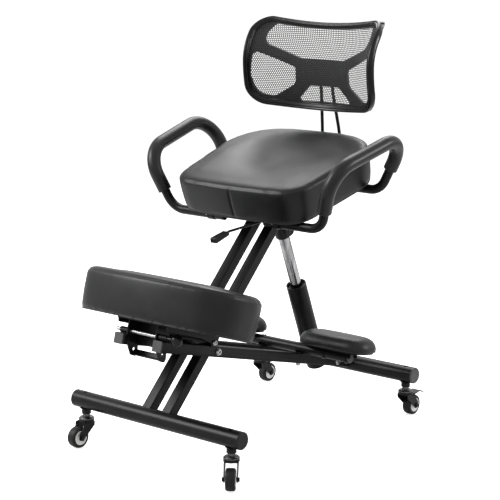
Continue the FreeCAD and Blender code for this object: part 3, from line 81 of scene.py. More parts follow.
def editAll(obj):
    makeActive(obj)
    bpy.ops.object.mode_set(mode="EDIT")
    bpy.ops.mesh.select_all(action="SELECT")


def editDone():
    bpy.ops.object.mode_set(mode="OBJECT")


def applyModifiers(obj):
    makeActive(obj)
    for modifier in list(obj.modifiers):
        bpy.ops.object.modifier_apply(modifier=modifier.name)


def settle(obj):
    # place and turn go into the mesh, the object goes back to the origin
    makeActive(obj)
    bpy.ops.object.transform_apply(location=True, rotation=True, scale=True)


def smoothOff(obj, degrees):
    makeActive(obj)
    bpy.ops.object.shade_smooth_by_angle(angle=math.radians(degrees))


def smoothAll(obj):
    makeActive(obj)
    bpy.ops.object.shade_smooth()


def addObject(name, data):
    obj = bpy.data.objects.new(name, data)
    scene.collection.objects.link(obj)
    return obj


def meshPiece(name, mesh):
    # closes a bmesh and puts it in the scene
    data = bpy.data.meshes.new(name)
    mesh.to_mesh(data)
    mesh.free()
    return addObject(name, data)


def copyNode(nodeName, newName):
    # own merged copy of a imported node, ready for edit mode work
    piece = addObject(newName, nodes[nodeName].data.copy())
    piece.data.materials.clear()
    editAll(piece)
    bpy.ops.mesh.remove_doubles(threshold=0.00002)
    editDone()
    return piece


def finishPiece(piece, body, replaced=()):
    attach(piece, body)
    if replaced:
        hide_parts(*replaced)


def bodyOf(nodeName):
    return nodes[nodeName]["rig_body"]


def paint(obj, material):
    obj.data.materials.clear()
    obj.data.materials.append(material)


# materials

def newMaterial(name, color, roughness, metallic=0.0):
    material = bpy.data.materials.new(name)
    material.use_nodes = True
    shader = material.node_tree.nodes["Principled BSDF"]
    shader.inputs["Base Color"].default_value = (*color, 1)
    shader.inputs["Roughness"].default_value = roughness
    shader.inputs["Metallic"].default_value = metallic
    return material, material.node_tree, shader


def linkPlace(tree, texture, stretch):
    # object coordinates, stretched, into a texture
    coords = tree.nodes.new("ShaderNodeTexCoord")
    mapping = tree.nodes.new("ShaderNodeMapping")
    mapping.inputs["Scale"].default_value = stretch
    tree.links.new(coords.outputs["Object"], mapping.inputs["Vector"])
    tree.links.new(mapping.outputs["Vector"], texture.inputs["Vector"])


def addNoise(tree, scale, detail=3.0, rough=0.6, stretch=(1, 1, 1)):
    noise = tree.nodes.new("ShaderNodeTexNoise")
    noise.inputs["Scale"].default_value = scale
    noise.inputs["Detail"].default_value = detail
    noise.inputs["Roughness"].default_value = rough
    linkPlace(tree, noise, stretch)
    return noise


def addCells(tree, scale, feature="F1"):
    cells = tree.nodes.new("ShaderNodeTexVoronoi")
    cells.feature = feature
    cells.inputs["Scale"].default_value = scale
    linkPlace(tree, cells, (1, 1, 1))
    return cells


def addBump(tree, shader, height, strength, distance, below=None):
    bump = tree.nodes.new("ShaderNodeBump")
    bump.inputs["Strength"].default_value = strength
    bump.inputs["Distance"].default_value = distance
    tree.links.new(height, bump.inputs["Height"])
    if below is not None:
        tree.links.new(below.outputs["Normal"], bump.inputs["Normal"])
    tree.links.new(bump.outputs["Normal"], shader.inputs["Normal"])
    return bump


def varyColor(tree, shader, factor, dark, light, lowAt=0.35, highAt=0.7):
    ramp = tree.nodes.new("ShaderNodeValToRGB")
    ramp.color_ramp.elements[0].position = lowAt
    ramp.color_ramp.elements[1].position = highAt
    ramp.color_ramp.elements[0].color = (*dark, 1)
    ramp.color_ramp.elements[1].color = (*light, 1)
    tree.links.new(factor, ramp.inputs["Fac"])
    tree.links.new(ramp.outputs["Color"], shader.inputs["Base Color"])


def varyRoughness(tree, shader, factor, low, high):
    spread = tree.nodes.new("ShaderNodeMapRange")
    spread.inputs["To Min"].default_value = low
    spread.inputs["To Max"].default_value = high
    tree.links.new(factor, spread.inputs["Value"])
    tree.links.new(spread.outputs["Result"], shader.inputs["Roughness"])


powderCoatLook = {"dark": (0.004, 0.004, 0.0045), "light": (0.008, 0.008, 0.0085), "roughness": (0.28, 0.4),
                  "grain": 1400.0, "shine": 0.16}


def makePowderCoat():
    look = powderCoatLook
    material, tree, shader = newMaterial("satinPowderCoat", look["light"], 0.45)
    shader.inputs["Specular IOR Level"].default_value = look["shine"]
    patches = addNoise(tree, 22.0)
    varyColor(tree, shader, patches.outputs["Fac"], look["dark"], look["light"])
    varyRoughness(tree, shader, patches.outputs["Fac"], *look["roughness"])
    grain = addNoise(tree, look["grain"], 2.0)
    addBump(tree, shader, grain.outputs["Fac"], 0.22, 0.0004)
    return material


leatherLook = {"dark": (0.005, 0.005, 0.0055), "light": (0.01, 0.01, 0.0105), "roughness": (0.3, 0.44),
               "pores": 900.0, "creases": 60.0, "shine": 0.26}


def makeLeather():
    look = leatherLook
    material, tree, shader = newMaterial("blackLeather", look["light"], 0.45)
    shader.inputs["Specular IOR Level"].default_value = look["shine"]
    wide = addNoise(tree, 14.0, 4.0)
    varyColor(tree, shader, wide.outputs["Fac"], look["dark"], look["light"])
    varyRoughness(tree, shader, wide.outputs["Fac"], *look["roughness"])
    pores = addCells(tree, look["pores"], "DISTANCE_TO_EDGE")
    fine = addBump(tree, shader, pores.outputs["Distance"], 0.25, 0.0006)
    creases = addNoise(tree, look["creases"], 5.0, 0.65, (1, 1, 0.6))
    addBump(tree, shader, creases.outputs["Fac"], 0.12, 0.002, fine)
    return material


foamLook = {"dark": (0.004, 0.004, 0.004), "light": (0.01, 0.01, 0.01), "roughness": (0.3, 0.45),
            "cells": 1100.0, "shine": 0.3}


def makeFoam():
    look = foamLook
    material, tree, shader = newMaterial("gripFoam", (0.008, 0.008, 0.008), 0.5)
    shader.inputs["Specular IOR Level"].default_value = look["shine"]
    cells = addCells(tree, look["cells"])
    varyColor(tree, shader, cells.outputs["Distance"], look["dark"], look["light"], 0.1, 0.6)
    varyRoughness(tree, shader, cells.outputs["Distance"], *look["roughness"])
    addBump(tree, shader, cells.outputs["Distance"], 0.14, 0.0003)
    return material


def makePlastic(name, dark, light, rough, grainScale=700.0, strength=0.15, shine=0.25):
    material, tree, shader = newMaterial(name, light, sum(rough) / 2)
    shader.inputs["Specular IOR Level"].default_value = shine
    patches = addNoise(tree, 30.0)
    varyColor(tree, shader, patches.outputs["Fac"], dark, light)
    varyRoughness(tree, shader, patches.outputs["Fac"], *rough)
    grain = addNoise(tree, grainScale, 2.0)
    addBump(tree, shader, grain.outputs["Fac"], strength, 0.0003)
    return material


def makeMetal(name, dark, light, rough, streakAndBandStretch=(1, 1, 1), scale=260.0):
    material, tree, shader = newMaterial(name, light, sum(rough) / 2, 1.0)
    # darker and lighter streaks in the colour: random tone on the zinc, but on the chrome, stretched along the
    # column, they are painted reflection bands
    streaksAndPaintedBands = addNoise(tree, scale, 2.0, 0.5, streakAndBandStretch)
    varyColor(tree, shader, streaksAndPaintedBands.outputs["Fac"], dark, light)
    varyRoughness(tree, shader, streaksAndPaintedBands.outputs["Fac"], *rough)
    addBump(tree, shader, streaksAndPaintedBands.outputs["Fac"], 0.05, 0.0002)
    return material


# distances inside a hole are in parts of the pitch
meshLook = {"pitch": 0.0054, "rows": 1.7320508, "holeFrom": 0.315, "holeTo": 0.365, "darkFrom": 0.36,
            "darkTo": 0.56, "dark": (0.008, 0.008, 0.008), "light": (0.03, 0.03, 0.031)}


def makeMeshWeave():
    # open weave: rows of round holes, each row shifted by half a step
    look = meshLook
    material, tree, shader = newMaterial("openWeave", look["light"], 0.7)
    links = tree.links
    uv = tree.nodes.new("ShaderNodeUVMap")
    uv.uv_map = "weave"

    def vectorStep(operation, source, constant=None):
        step = tree.nodes.new("ShaderNodeVectorMath")
        step.operation = operation
        if constant is not None:
            step.inputs[1].default_value = constant
        links.new(source, step.inputs[0])
        return step.outputs["Value"] if operation == "LENGTH" else step.outputs["Vector"]

    def lattice(shift):
        # distance from the middle of the nearest hole of one set of rows
        mapping = tree.nodes.new("ShaderNodeMapping")
        mapping.inputs["Location"].default_value = (shift, shift, 0)
        mapping.inputs["Scale"].default_value = (1 / look["pitch"], 1 / (look["pitch"] * look["rows"]), 1)
        links.new(uv.outputs["UV"], mapping.inputs["Vector"])
        inCell = vectorStep("FRACTION", mapping.outputs["Vector"])
        fromMiddle = vectorStep("SUBTRACT", inCell, (0.5, 0.5, 0))
        return vectorStep("LENGTH", vectorStep("MULTIPLY", fromMiddle, (1, look["rows"], 0)))

    nearest = tree.nodes.new("ShaderNodeMath")
    nearest.operation = "MINIMUM"
    links.new(lattice(0), nearest.inputs[0])
    links.new(lattice(0.5), nearest.inputs[1])
    hole = tree.nodes.new("ShaderNodeMapRange")
    hole.inputs["From Min"].default_value = look["holeFrom"]
    hole.inputs["From Max"].default_value = look["holeTo"]
    links.new(nearest.outputs["Value"], hole.inputs["Value"])
    links.new(hole.outputs["Result"], shader.inputs["Alpha"])
    varyColor(tree, shader, nearest.outputs["Value"], look["light"], look["dark"], look["darkFrom"], look["darkTo"])
    addBump(tree, shader, nearest.outputs["Value"], 0.5, 0.0008)
    return material


def makeBoard():
    material, tree, shader = newMaterial("stainedPlywood", (0.03, 0.026, 0.022), 0.6)
    grain = addNoise(tree, 40.0, 5.0, 0.6, (0.4, 6, 2))
    varyColor(tree, shader, grain.outputs["Fac"], (0.004, 0.004, 0.004), (0.012, 0.011, 0.01))
    varyRoughness(tree, shader, grain.outputs["Fac"], 0.5, 0.75)
    addBump(tree, shader, grain.outputs["Fac"], 0.2, 0.0006)
    return material


powderCoat = makePowderCoat()
leather = makeLeather()
foam = makeFoam()
weave = makeMeshWeave()
# dark tone, light tone, roughness from and to, then what differs from the usual grain
blackPlastic = makePlastic("mattBlackPlastic", (0.005, 0.005, 0.005), (0.01, 0.01, 0.01), (0.4, 0.55))
glossPlastic = makePlastic("glossBlackPlastic", (0.003, 0.003, 0.003), (0.006, 0.006, 0.006), (0.2, 0.3),
                           grainScale=400.0, strength=0.05)
greyPlastic = makePlastic("greyCapPlastic", (0.06, 0.06, 0.062), (0.085, 0.085, 0.088), (0.4, 0.5))
whitePlastic = makePlastic("whiteHubPlastic", (0.7, 0.7, 0.69), (0.85, 0.85, 0.84), (0.3, 0.42),
                           strength=0.1, shine=0.5)
treadRubber = makePlastic("blackTread", (0.004, 0.004, 0.004), (0.008, 0.008, 0.008), (0.4, 0.55),
                          grainScale=900.0, strength=0.3)
redPlastic = makePlastic("redButton", (0.3, 0.02, 0.02), (0.42, 0.04, 0.03), (0.3, 0.4))
# the chrome's dark and light bands along its length are painted reflections of the surroundings, not a real tone of
# the metal
chromeWithPaintedBands = makeMetal("chromePaintedReflections", (0.26, 0.26, 0.265), (0.52, 0.52, 0.53), (0.12, 0.2),
                        streakAndBandStretch=(1, 1, 0.05), scale=90.0)
zincMetal = makeMetal("zincPlate", (0.28, 0.28, 0.285), (0.5, 0.5, 0.51), (0.24, 0.4), streakAndBandStretch=(4, 1, 1))
stemMetal = makeMetal("darkZinc", (0.05, 0.05, 0.05), (0.16, 0.16, 0.165), (0.2, 0.34), streakAndBandStretch=(4, 1, 1))
stainedBoard = makeBoard()
print("materials made")

# the nodes listed here take their finish, also those that a piece below replaces
finishes = {
    "front_base_tube": powderCoat, "rear_base_tube": powderCoat, "left_arm": powderCoat, "right_arm": powderCoat,
    "left_leg": powderCoat, "right_leg": powderCoat, "knee_bracket": powderCoat, "seat_mount": powderCoat,
    "ankle_bar": powderCoat, "handle_tubes": powderCoat, "handle_saddles": powderCoat,
    "knee_hinge_tube": powderCoat, "back_rods": powderCoat, "release_lever": powderCoat,
    "left_ankle_mount": powderCoat, "right_ankle_mount": powderCoat, "gas_tube": powderCoat,
    "frame_bolts": zincMetal, "ankle_bar_bolts": zincMetal, "knee_hinge_bolt": zincMetal,
    "clamp_rod": zincMetal, "seat_screws": zincMetal, "knee_screws": zincMetal, "lever_pin": zincMetal,
    "front_caster_stems": stemMetal, "rear_caster_stems": stemMetal,
    "rear_frame_caps": greyPlastic, "front_tube_caps": blackPlastic, "frame_spacers": blackPlastic,
    "rod_sleeves": blackPlastic, "gas_bush": blackPlastic, "column_head": blackPlastic,
    "clamp_knob": glossPlastic, "back_frame": glossPlastic, "back_carrier": blackPlastic,
    "lever_grip": blackPlastic, "gas_column": chromeWithPaintedBands, "valve_button": redPlastic,
    "seat_board": stainedBoard, "knee_board": stainedBoard, "handle_grips": foam, "back_mesh": weave,
}
for corner in ("front_left", "front_right", "rear_left", "rear_right"):
    finishes[corner + "_fork"] = powderCoat
    finishes[corner + "_hub"] = whitePlastic
    finishes[corner + "_tread"] = treadRubber
    if corner.startswith("rear"):
        finishes[corner + "_brake_pedal"] = blackPlastic
for name, material in finishes.items():
    paint(nodes[name], material)
    smoothOff(nodes[name], 32)
print("packed nodes painted:", len(finishes))


# cushions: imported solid, even mesh, blown up a little, then the top seam pressed in

def localPlace(x, y, z, degrees):
    return Matrix.Translation((x, y, z)) @ Matrix.Rotation(math.radians(degrees), 4, "X")


seatPlace = localPlace(0, -0.04459, 0.5231, 15.8)
kneePlace = localPlace(0, -0.38369, 0.3495, -18.8)
clothSet = {"frames": 8, "quality": 3, "mass": 0.3, "stretch": 18}


def blowUp(piece, settings):
    # a short cloth run with air pressure, then every point is held within the cap
    start = [v.co.copy() for v in piece.data.vertices]
    makeActive(piece)
    bpy.ops.object.modifier_add(type="CLOTH")
    cloth = piece.modifiers[-1]
    cloth.settings.quality = clothSet["quality"]
    cloth.settings.mass = clothSet["mass"]
    cloth.settings.tension_stiffness = clothSet["stretch"]
    cloth.settings.compression_stiffness = clothSet["stretch"]
    cloth.settings.bending_stiffness = settings["stiff"]
    cloth.settings.use_pressure = True
    cloth.settings.uniform_pressure_force = settings["pressure"]
    cloth.settings.effector_weights.gravity = 0
    cloth.settings.vertex_group_mass = "held"
    cloth.point_cache.frame_start = 1
    cloth.point_cache.frame_end = clothSet["frames"]
    for step in range(1, clothSet["frames"] + 1):
        scene.frame_set(step)
    solved = piece.evaluated_get(bpy.context.evaluated_depsgraph_get()).data
    moved = [v.co.copy() for v in solved.vertices]
    piece.modifiers.remove(cloth)
    scene.frame_set(1)
    cap = settings["cap"]
    for vertex, before, after in zip(piece.data.vertices, start, moved):
        step = after - before
        if step.length > cap:
            step *= cap / step.length
        vertex.co = before + step


def pressSeam(piece, settings):
    # the top seam is a groove round the wall, and the seat has one down its front too
    edge, depth, width = settings["edge"], settings["seamDepth"], settings["seamWidth"]
    mesh = piece.data
    normals = [v.normal.copy() for v in mesh.vertices]
    for vertex, normal in zip(mesh.vertices, normals):
        spot = vertex.co
        side = math.hypot(normal.x, normal.y)
        groove = math.exp(-((spot.z - edge) / width) ** 2) * min(1.0, side * 1.3)
        if settings["frontSeam"] and spot.y < 0.06 and normal.y < -0.5 and 0.004 < spot.z < edge:
            groove += 0.8 * math.exp(-(spot.x / width) ** 2)
        vertex.co = spot - normal * depth * groove
    mesh.update()


# heights in metres over the cushion's flat underside, shares from 0 to 1
padSet = {"fade": 0.03, "seamHold": 0.85, "seamReach": 0.007, "crownFrom": 0.001, "crownFade": 0.004,
          "under": 0.004, "overBoard": 0.0025, "rim": -0.0003}


def holdGroup(piece, settings):
    # the wall near the underside and the top seam stay put while the pad is blown up
    held = piece.vertex_groups.new(name="held")
    for vertex in piece.data.vertices:
        flat = min(1.0, max(0.0, (settings["lip"] + padSet["fade"] - vertex.co.z) / padSet["fade"]))
        seam = padSet["seamHold"] * math.exp(-((vertex.co.z - settings["edge"]) / padSet["seamReach"]) ** 2)
        held.add([vertex.index], max(flat, seam), "REPLACE")


def crownGroup(piece, settings):
    crown = piece.vertex_groups.new(name="crown")
    for vertex in piece.data.vertices:
        high = vertex.co.z - settings["edge"]
        if vertex.normal.z > 0.3 and high > padSet["crownFrom"]:
            crown.add([vertex.index], min(1.0, high / padSet["crownFade"]), "REPLACE")


def softCushion(nodeName, newName, place, settings):
    # worked on in the cushion's own frame, so its flat underside stays flat
    piece = copyNode(nodeName, newName)
    piece.data.transform(place.inverted())
    editAll(piece)
    bpy.ops.transform.shrink_fatten(value=-settings["shrink"])
    editDone()
    board = None
    if settings["board"]:
        # the board fills its recess for the even mesh, and its outline is kept for the underside
        board = copyNode(settings["board"], "fill")
        board.data.transform(place.inverted())
        outline = BVHTree.FromPolygons([v.co.copy() for v in board.data.vertices],
                                       [tuple(f.vertices) for f in board.data.polygons])
        clearSelection()
        board.select_set(True)
        piece.select_set(True)
        bpy.context.view_layer.objects.active = piece
        bpy.ops.object.join()
    remesh = piece.modifiers.new("evenFaces", "REMESH")
    remesh.mode = "VOXEL"
    remesh.voxel_size = settings["voxel"]
    applyModifiers(piece)
    holdGroup(piece, settings)
    blowUp(piece, settings)
    crownGroup(piece, settings)
    soften = piece.modifiers.new("soften", "SMOOTH")
    soften.factor = 0.5
    soften.iterations = settings["crownRelax"]
    soften.vertex_group = "crown"
    relax = piece.modifiers.new("relax", "SMOOTH")
    relax.factor = 0.5
    relax.iterations = settings["relax"]
    finer = piece.modifiers.new("finer", "SUBSURF")
    finer.levels = 1
    finer.render_levels = 1
    applyModifiers(piece)
    piece.vertex_groups.clear()
    if board:
        # over the board the underside clears it, round the board it hangs a hair lower
        for vertex in piece.data.vertices:
            if vertex.co.z < padSet["under"] and vertex.normal.z < -0.5:
                over = outline.ray_cast(Vector((vertex.co.x, vertex.co.y, -0.05)), Vector((0, 0, 1)))[0]
                vertex.co.z = padSet["overBoard"] if over else padSet["rim"]
    if settings["seamDepth"]:
        pressSeam(piece, settings)
    piece.data.transform(place)
    return piece


cushionSets = {
    "seat_cushion": {"name": "seatPad", "place": seatPlace, "body": "seat_frame", "board": "seat_board",
                     "edge": 0.082, "lip": 0.018, "voxel": 0.006, "shrink": 0.0022, "pressure": 2.0,
                     "stiff": 8.0, "cap": 0.0025, "relax": 5, "crownRelax": 40, "seamDepth": 0.0019,
                     "seamWidth": 0.0028, "frontSeam": True, "fill": 0.85},
    "knee_cushion": {"name": "kneePad", "place": kneePlace, "body": "knee_rest", "board": "knee_board",
                     "edge": 0.092, "lip": 0.016, "voxel": 0.006, "shrink": 0.0022, "pressure": 2.0,
                     "stiff": 8.0, "cap": 0.0025, "relax": 5, "crownRelax": 40, "seamDepth": 0.0013,
                     "seamWidth": 0.0026, "frontSeam": False, "fill": 0.9},
}
for nodeName, settings in cushionSets.items():
    pad = softCushion(nodeName, settings["name"], settings["place"], settings)
    paint(pad, leather)
    smoothAll(pad)
    finishPiece(pad, settings["body"], (nodeName,))
    print("cushion made:", settings["name"], len(pad.data.polygons))

# the ankle pads have no board and no seam, and their crown is the whole pad
ankleSet = {"voxel": 0.004, "shrink": 0.0015, "pressure": 3.0, "stiff": 4.0, "cap": 0.002, "relax": 5,
            "crownRelax": 10, "pitch": -9.0, "lift": 0.008, "edge": -1.0, "seamDepth": 0.0, "lip": 0.012,
            "board": ""}
for sideName in ("left", "right"):
    low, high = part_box(sideName + "_ankle_cushion")
    middleX, middleY = (low[0] + high[0]) / 2, (low[1] + high[1]) / 2
    place = localPlace(middleX, middleY, low[2] + ankleSet["lift"], ankleSet["pitch"])
    pad = softCushion(sideName + "_ankle_cushion", sideName + "AnklePad", place, ankleSet)
    paint(pad, leather)
    smoothAll(pad)
    finishPiece(pad, sideName + "_ankle_rest", (sideName + "_ankle_cushion",))
print("ankle pads made")


# backrest: beaded frame, open mesh

backSet = {"axisY": -0.11919, "wing": 0.388, "upper": 0.125, "lower": 0.331,
           "middle": 0.865, "half": 0.1945, "top": 0.978, "bottom": 0.760, "sag": 0.017, "bulge": 0.012,
           "topCorner": 0.037, "bottomCorner": 0.050, "beadHalf": 0.0065, "meshInset": 0.010}


def backPoint(x, z, forward=0.0):
    # point on the backrest's middle surface, moved forward along its normal
    s = backSet
    big = s["upper"] if z > s["middle"] else s["lower"]
    rise = z - s["middle"]
    run = math.sqrt(big * big - rise * rise)
    reach = s["wing"] + big - run
    y = math.sqrt(reach * reach - x * x)
    radial = Vector((x / reach, y / reach, 0))
    slope = rise / run
    normal = (Vector((0, 0, slope)) - radial).normalized()
    return Vector((x, s["axisY"] + y, z)) + normal * forward, normal


def backOutline(inset, cornerSteps=14, sideSteps=24, lineSteps=40):
    # closed outline in x and z: sagging top, bulging bottom, round corners
    s = backSet
    half, top, bottom = s["half"] - inset, s["top"] - inset, s["bottom"] + inset
    topR, lowR = s["topCorner"] - inset * 0.8, s["bottomCorner"] - inset * 0.8

    def topZ(x):
        return top - s["sag"] * (1 - (x / half) ** 2)

    def lowZ(x):
        return bottom - s["bulge"] * (1 - (x / half) ** 2)

    def corner(radius, lineZ, up):
        centreX = half - radius
        slope = (lineZ(centreX + 0.001) - lineZ(centreX - 0.001)) / 0.002
        shift = radius * math.sqrt(1 + slope * slope)
        centreZ = lineZ(centreX) - shift if up else lineZ(centreX) + shift
        start = math.atan2(1, -slope) if up else math.atan2(-1, slope)
        points = []
        for i in range(cornerSteps + 1):
            angle = start * (1 - i / cornerSteps)
            points.append((centreX + radius * math.cos(angle), centreZ + radius * math.sin(angle)))
        return points

    def across(startX, lineZ):
        places = [startX - 2 * startX * i / lineSteps for i in range(1, lineSteps)]
        return [(x, lineZ(x)) for x in places]

    rightTop = corner(topR, topZ, True)
    rightLow = corner(lowR, lowZ, False)[::-1]
    zA, zB = rightTop[-1][1], rightLow[0][1]
    side = [(half, zA + (zB - zA) * i / sideSteps) for i in range(1, sideSteps)]
    right = rightTop + side + rightLow
    left = [(-x, z) for x, z in right][::-1]
    return right + across(rightLow[-1][0], lowZ) + left + across(-rightTop[0][0], topZ)


def sweepRing(name, outline, section):
    # section points are (outward, forward) pairs carried round a closed outline on the back's surface
    count = len(outline)
    mesh = bmesh.new()
    rings = []
    first, second = outline[0], outline[1]
    ahead = backPoint(*second)[0] - backPoint(*first)[0]
    sense = 1 if backPoint(*first)[1].cross(ahead).z > 0 else -1
    for i, (x, z) in enumerate(outline):
        before, after = outline[i - 1], outline[(i + 1) % count]
        spot, normal = backPoint(x, z)
        ahead = (backPoint(*after)[0] - backPoint(*before)[0]).normalized()
        outward = normal.cross(ahead).normalized() * sense
        rings.append([mesh.verts.new(spot + outward * a + normal * b) for a, b in section])
    steps = len(section)
    for i in range(count):
        here, there = rings[i], rings[(i + 1) % count]
        for k in range(steps):
            mesh.faces.new((here[k], here[(k + 1) % steps], there[(k + 1) % steps], there[k]))
    bmesh.ops.recalc_face_normals(mesh, faces=mesh.faces)
    return meshPiece(name, mesh)


# a rounded bead, a small groove for the mesh inside it, and a rim behind
beadSection = [(0.0064, 0.0000), (0.0062, 0.0028), (0.0052, 0.0052), (0.0034, 0.0066), (0.0012, 0.0068),
               (-0.0004, 0.0058), (-0.0012, 0.0044), (-0.0020, 0.0044), (-0.0028, 0.0058), (-0.0042, 0.0062),
               (-0.0056, 0.0050), (-0.0064, 0.0030), (-0.0098, 0.0016), (-0.0100, -0.0016), (-0.0064, -0.0034),
               (-0.0050, -0.0094), (-0.0020, -0.0114), (0.0018, -0.0114), (0.0046, -0.0096), (0.0062, -0.0050)]
bead = sweepRing("backBead", backOutline(backSet["beadHalf"]), beadSection)
paint(bead, glossPlastic)
smoothAll(bead)
finishPiece(bead, "backrest", ("back_frame",))

weaveSet = {"columns": 64, "rows": 40, "measureAt": 0.86, "stretchUp": 1.04, "forward": 0.0002}


def heightsAt(x, outline):
    # lowest and highest crossing of the outline at x
    ends = []
    for i, (xa, za) in enumerate(outline):
        xb, zb = outline[(i + 1) % len(outline)]
        if (xa - x) * (xb - x) <= 0 and abs(xb - xa) > 1e-9:
            ends.append(za + (zb - za) * (x - xa) / (xb - xa))
    return (min(ends), max(ends)) if ends else (0.87, 0.871)


def buildWeave():
    # curved sheet with its own map in metres, so the holes keep their size
    mesh = bmesh.new()
    layer = mesh.loops.layers.uv.new("weave")
    columns, rows = weaveSet["columns"], weaveSet["rows"]
    outline = backOutline(backSet["meshInset"])
    half = backSet["half"] - backSet["meshInset"]
    xs = [-half + 2 * half * i / columns for i in range(columns + 1)]
    grid = []
    for x in xs:
        low, high = heightsAt(x, outline)
        heights = [low + (high - low) * k / rows for k in range(rows + 1)]
        grid.append([mesh.verts.new(backPoint(x, z, weaveSet["forward"])[0]) for z in heights])
    middles = [backPoint(x, weaveSet["measureAt"])[0] for x in xs]
    lengthX = [0.0]
    for before, after in zip(middles, middles[1:]):
        lengthX.append(lengthX[-1] + (after - before).length)
    for i in range(columns):
        for k in range(rows):
            corners = ((i, k), (i + 1, k), (i + 1, k + 1), (i, k + 1))
            face = mesh.faces.new([grid[a][b] for a, b in corners])
            for loop, (a, b) in zip(face.loops, corners):
                loop[layer].uv = (lengthX[a], loop.vert.co.z * weaveSet["stretchUp"])
    return meshPiece("backWeave", mesh)


meshSheet = buildWeave()
paint(meshSheet, weave)
smoothAll(meshSheet)
finishPiece(meshSheet, "backrest", ("back_mesh",))
print("backrest made")


# legs, arms, grips and carrier with rounded edges

def isLong(edge):
    return edge.calc_length() > 0.06


def selectSharp(piece, degrees, keepEdge):
    makeActive(piece)
    bpy.ops.object.mode_set(mode="EDIT")
    bpy.ops.mesh.select_mode(type="EDGE")
    bpy.ops.mesh.select_all(action="DESELECT")
    mesh = bmesh.from_edit_mesh(piece.data)
    limit = math.radians(degrees)
    for edge in mesh.edges:
        if len(edge.link_faces) == 2 and edge.calc_face_angle() > limit:
            edge.select_set(keepEdge is None or keepEdge(edge))
    bmesh.update_edit_mesh(piece.data)


def softCopy(nodeName, width, segments, degrees, keepEdge):
    # same shape with its hard edges rounded, as moulded or drawn parts have
    piece = copyNode(nodeName, nodeName + "_soft")
    editAll(piece)
    bpy.ops.mesh.dissolve_limited(angle_limit=math.radians(0.6))
    editDone()
    selectSharp(piece, degrees, keepEdge)
    bpy.ops.mesh.bevel(offset=width, offset_type="OFFSET", segments=segments, profile=0.6, clamp_overlap=True)
    bpy.ops.mesh.select_all(action="SELECT")
    bpy.ops.mesh.normals_make_consistent(inside=False)
    editDone()
    smoothOff(piece, 40)
    return piece


tubeLook = {"width": 0.0026, "segments": 3, "material": powderCoat, "slot": "black_steel", "keep": isLong}
softParts = {
    "left_leg": tubeLook, "right_leg": tubeLook, "left_arm": tubeLook, "right_arm": tubeLook,
    "handle_grips": {"width": 0.0035, "segments": 3, "material": foam, "slot": "foam"},
    "back_carrier": {"width": 0.0014, "segments": 2, "material": blackPlastic, "slot": "black_plastic"},
}
for nodeName, look in softParts.items():
    part = softCopy(nodeName, look["width"], look["segments"], 50, look.get("keep"))
    paint(part, look["material"])
    finishPiece(part, bodyOf(nodeName), (nodeName,))
print("soft copies made")


# floor, light and camera

stageSet = {"floorSize": 90.0, "floorColor": (0.86, 0.86, 0.86), "glow": 0.72}


def makeStage():
    # the glow is for the camera alone, so the floor is white and still keeps the shadow
    clearSelection()
    bpy.ops.mesh.primitive_plane_add(size=stageSet["floorSize"], location=(0, 0, 0))
    floor = bpy.context.object
    floor.name = "floor"
    material = bpy.data.materials.new("paleFloor")
    material.use_nodes = True
    tree = material.node_tree
    tree.nodes.clear()
    output = tree.nodes.new("ShaderNodeOutputMaterial")
    matt = tree.nodes.new("ShaderNodeBsdfDiffuse")
    matt.inputs["Color"].default_value = (*stageSet["floorColor"], 1)
    glow = tree.nodes.new("ShaderNodeEmission")
    glow.inputs["Strength"].default_value = stageSet["glow"]
    both = tree.nodes.new("ShaderNodeAddShader")
    path = tree.nodes.new("ShaderNodeLightPath")
    pick = tree.nodes.new("ShaderNodeMixShader")
    tree.links.new(matt.outputs["BSDF"], both.inputs[0])
    tree.links.new(glow.outputs["Emission"], both.inputs[1])
    tree.links.new(path.outputs["Is Camera Ray"], pick.inputs["Fac"])
    tree.links.new(matt.outputs["BSDF"], pick.inputs[1])
    tree.links.new(both.outputs["Shader"], pick.inputs[2])
    tree.links.new(pick.outputs["Shader"], output.inputs["Surface"])
    paint(floor, material)
    settle(floor)


worldSet = {"soft": 0.4, "white": 1.0}


def addBackground(tree, strength):
    background = tree.nodes.new("ShaderNodeBackground")
    background.inputs["Color"].default_value = (1, 1, 1, 1)
    background.inputs["Strength"].default_value = strength
    return background


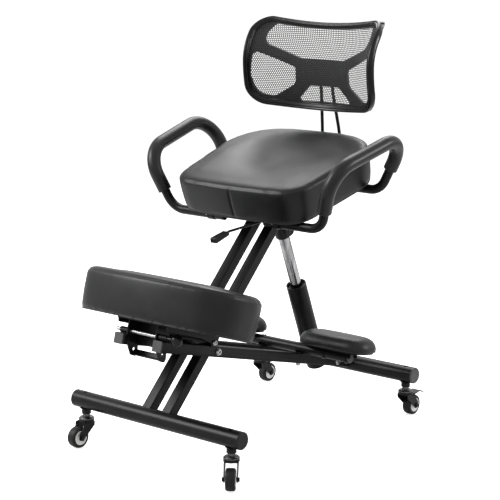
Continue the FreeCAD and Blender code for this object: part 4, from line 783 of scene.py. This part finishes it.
def makeWorld():
    # white behind the chair and in its metal, soft light from all round otherwise
    world = bpy.data.worlds.new("studio")
    scene.world = world
    world.use_nodes = True
    tree = world.node_tree
    tree.nodes.clear()
    output = tree.nodes.new("ShaderNodeOutputWorld")
    soft = addBackground(tree, worldSet["soft"])
    white = addBackground(tree, worldSet["white"])
    path = tree.nodes.new("ShaderNodeLightPath")
    pick = tree.nodes.new("ShaderNodeMixShader")
    seen = path.outputs["Is Camera Ray"]
    for ray in ("Is Transmission Ray", "Is Glossy Ray"):
        either = tree.nodes.new("ShaderNodeMath")
        either.operation = "MAXIMUM"
        tree.links.new(seen, either.inputs[0])
        tree.links.new(path.outputs[ray], either.inputs[1])
        seen = either.outputs["Value"]
    tree.links.new(seen, pick.inputs["Fac"])
    tree.links.new(soft.outputs["Background"], pick.inputs[1])
    tree.links.new(white.outputs["Background"], pick.inputs[2])
    tree.links.new(pick.outputs["Shader"], output.inputs["Surface"])


lampSet = {
    "keyLamp": {"spot": (-1.9, -1.9, 2.2), "size": 1.3, "power": 85.0},
    "topLamp": {"spot": (-1.0, 1.7, 2.8), "size": 1.8, "power": 70.0},
    "sideLamp": {"spot": (2.4, 1.6, 1.4), "size": 0.8, "power": 34.0},
}
lampAim = Vector((0, 0, 0.5))


def makeLamps():
    for name, look in lampSet.items():
        light = bpy.data.lights.new(name, "AREA")
        light.size = look["size"]
        light.energy = look["power"]
        lamp = addObject(name, light)
        lamp.location = look["spot"]
        aim = lampAim - Vector(look["spot"])
        lamp.rotation_euler = aim.to_track_quat("-Z", "Y").to_euler()


cameraSet = {"spot": (2.31358, -2.79616, 1.18764), "azimuth": 39.5027, "elevation": 11.5845,
             "lens": 113.167, "sensor": 36.0, "far": 60.0}


def makeCamera():
    view = bpy.data.cameras.new("photoView")
    view.lens = cameraSet["lens"]
    view.sensor_width = cameraSet["sensor"]
    view.clip_end = cameraSet["far"]
    camera = addObject("photoView", view)
    camera.location = cameraSet["spot"]
    camera.rotation_euler = (math.radians(90 - cameraSet["elevation"]), 0, math.radians(cameraSet["azimuth"]))
    scene.camera = camera


makeStage()
makeWorld()
makeLamps()
makeCamera()
scene.view_settings.view_transform = "Standard"
print("stage set")
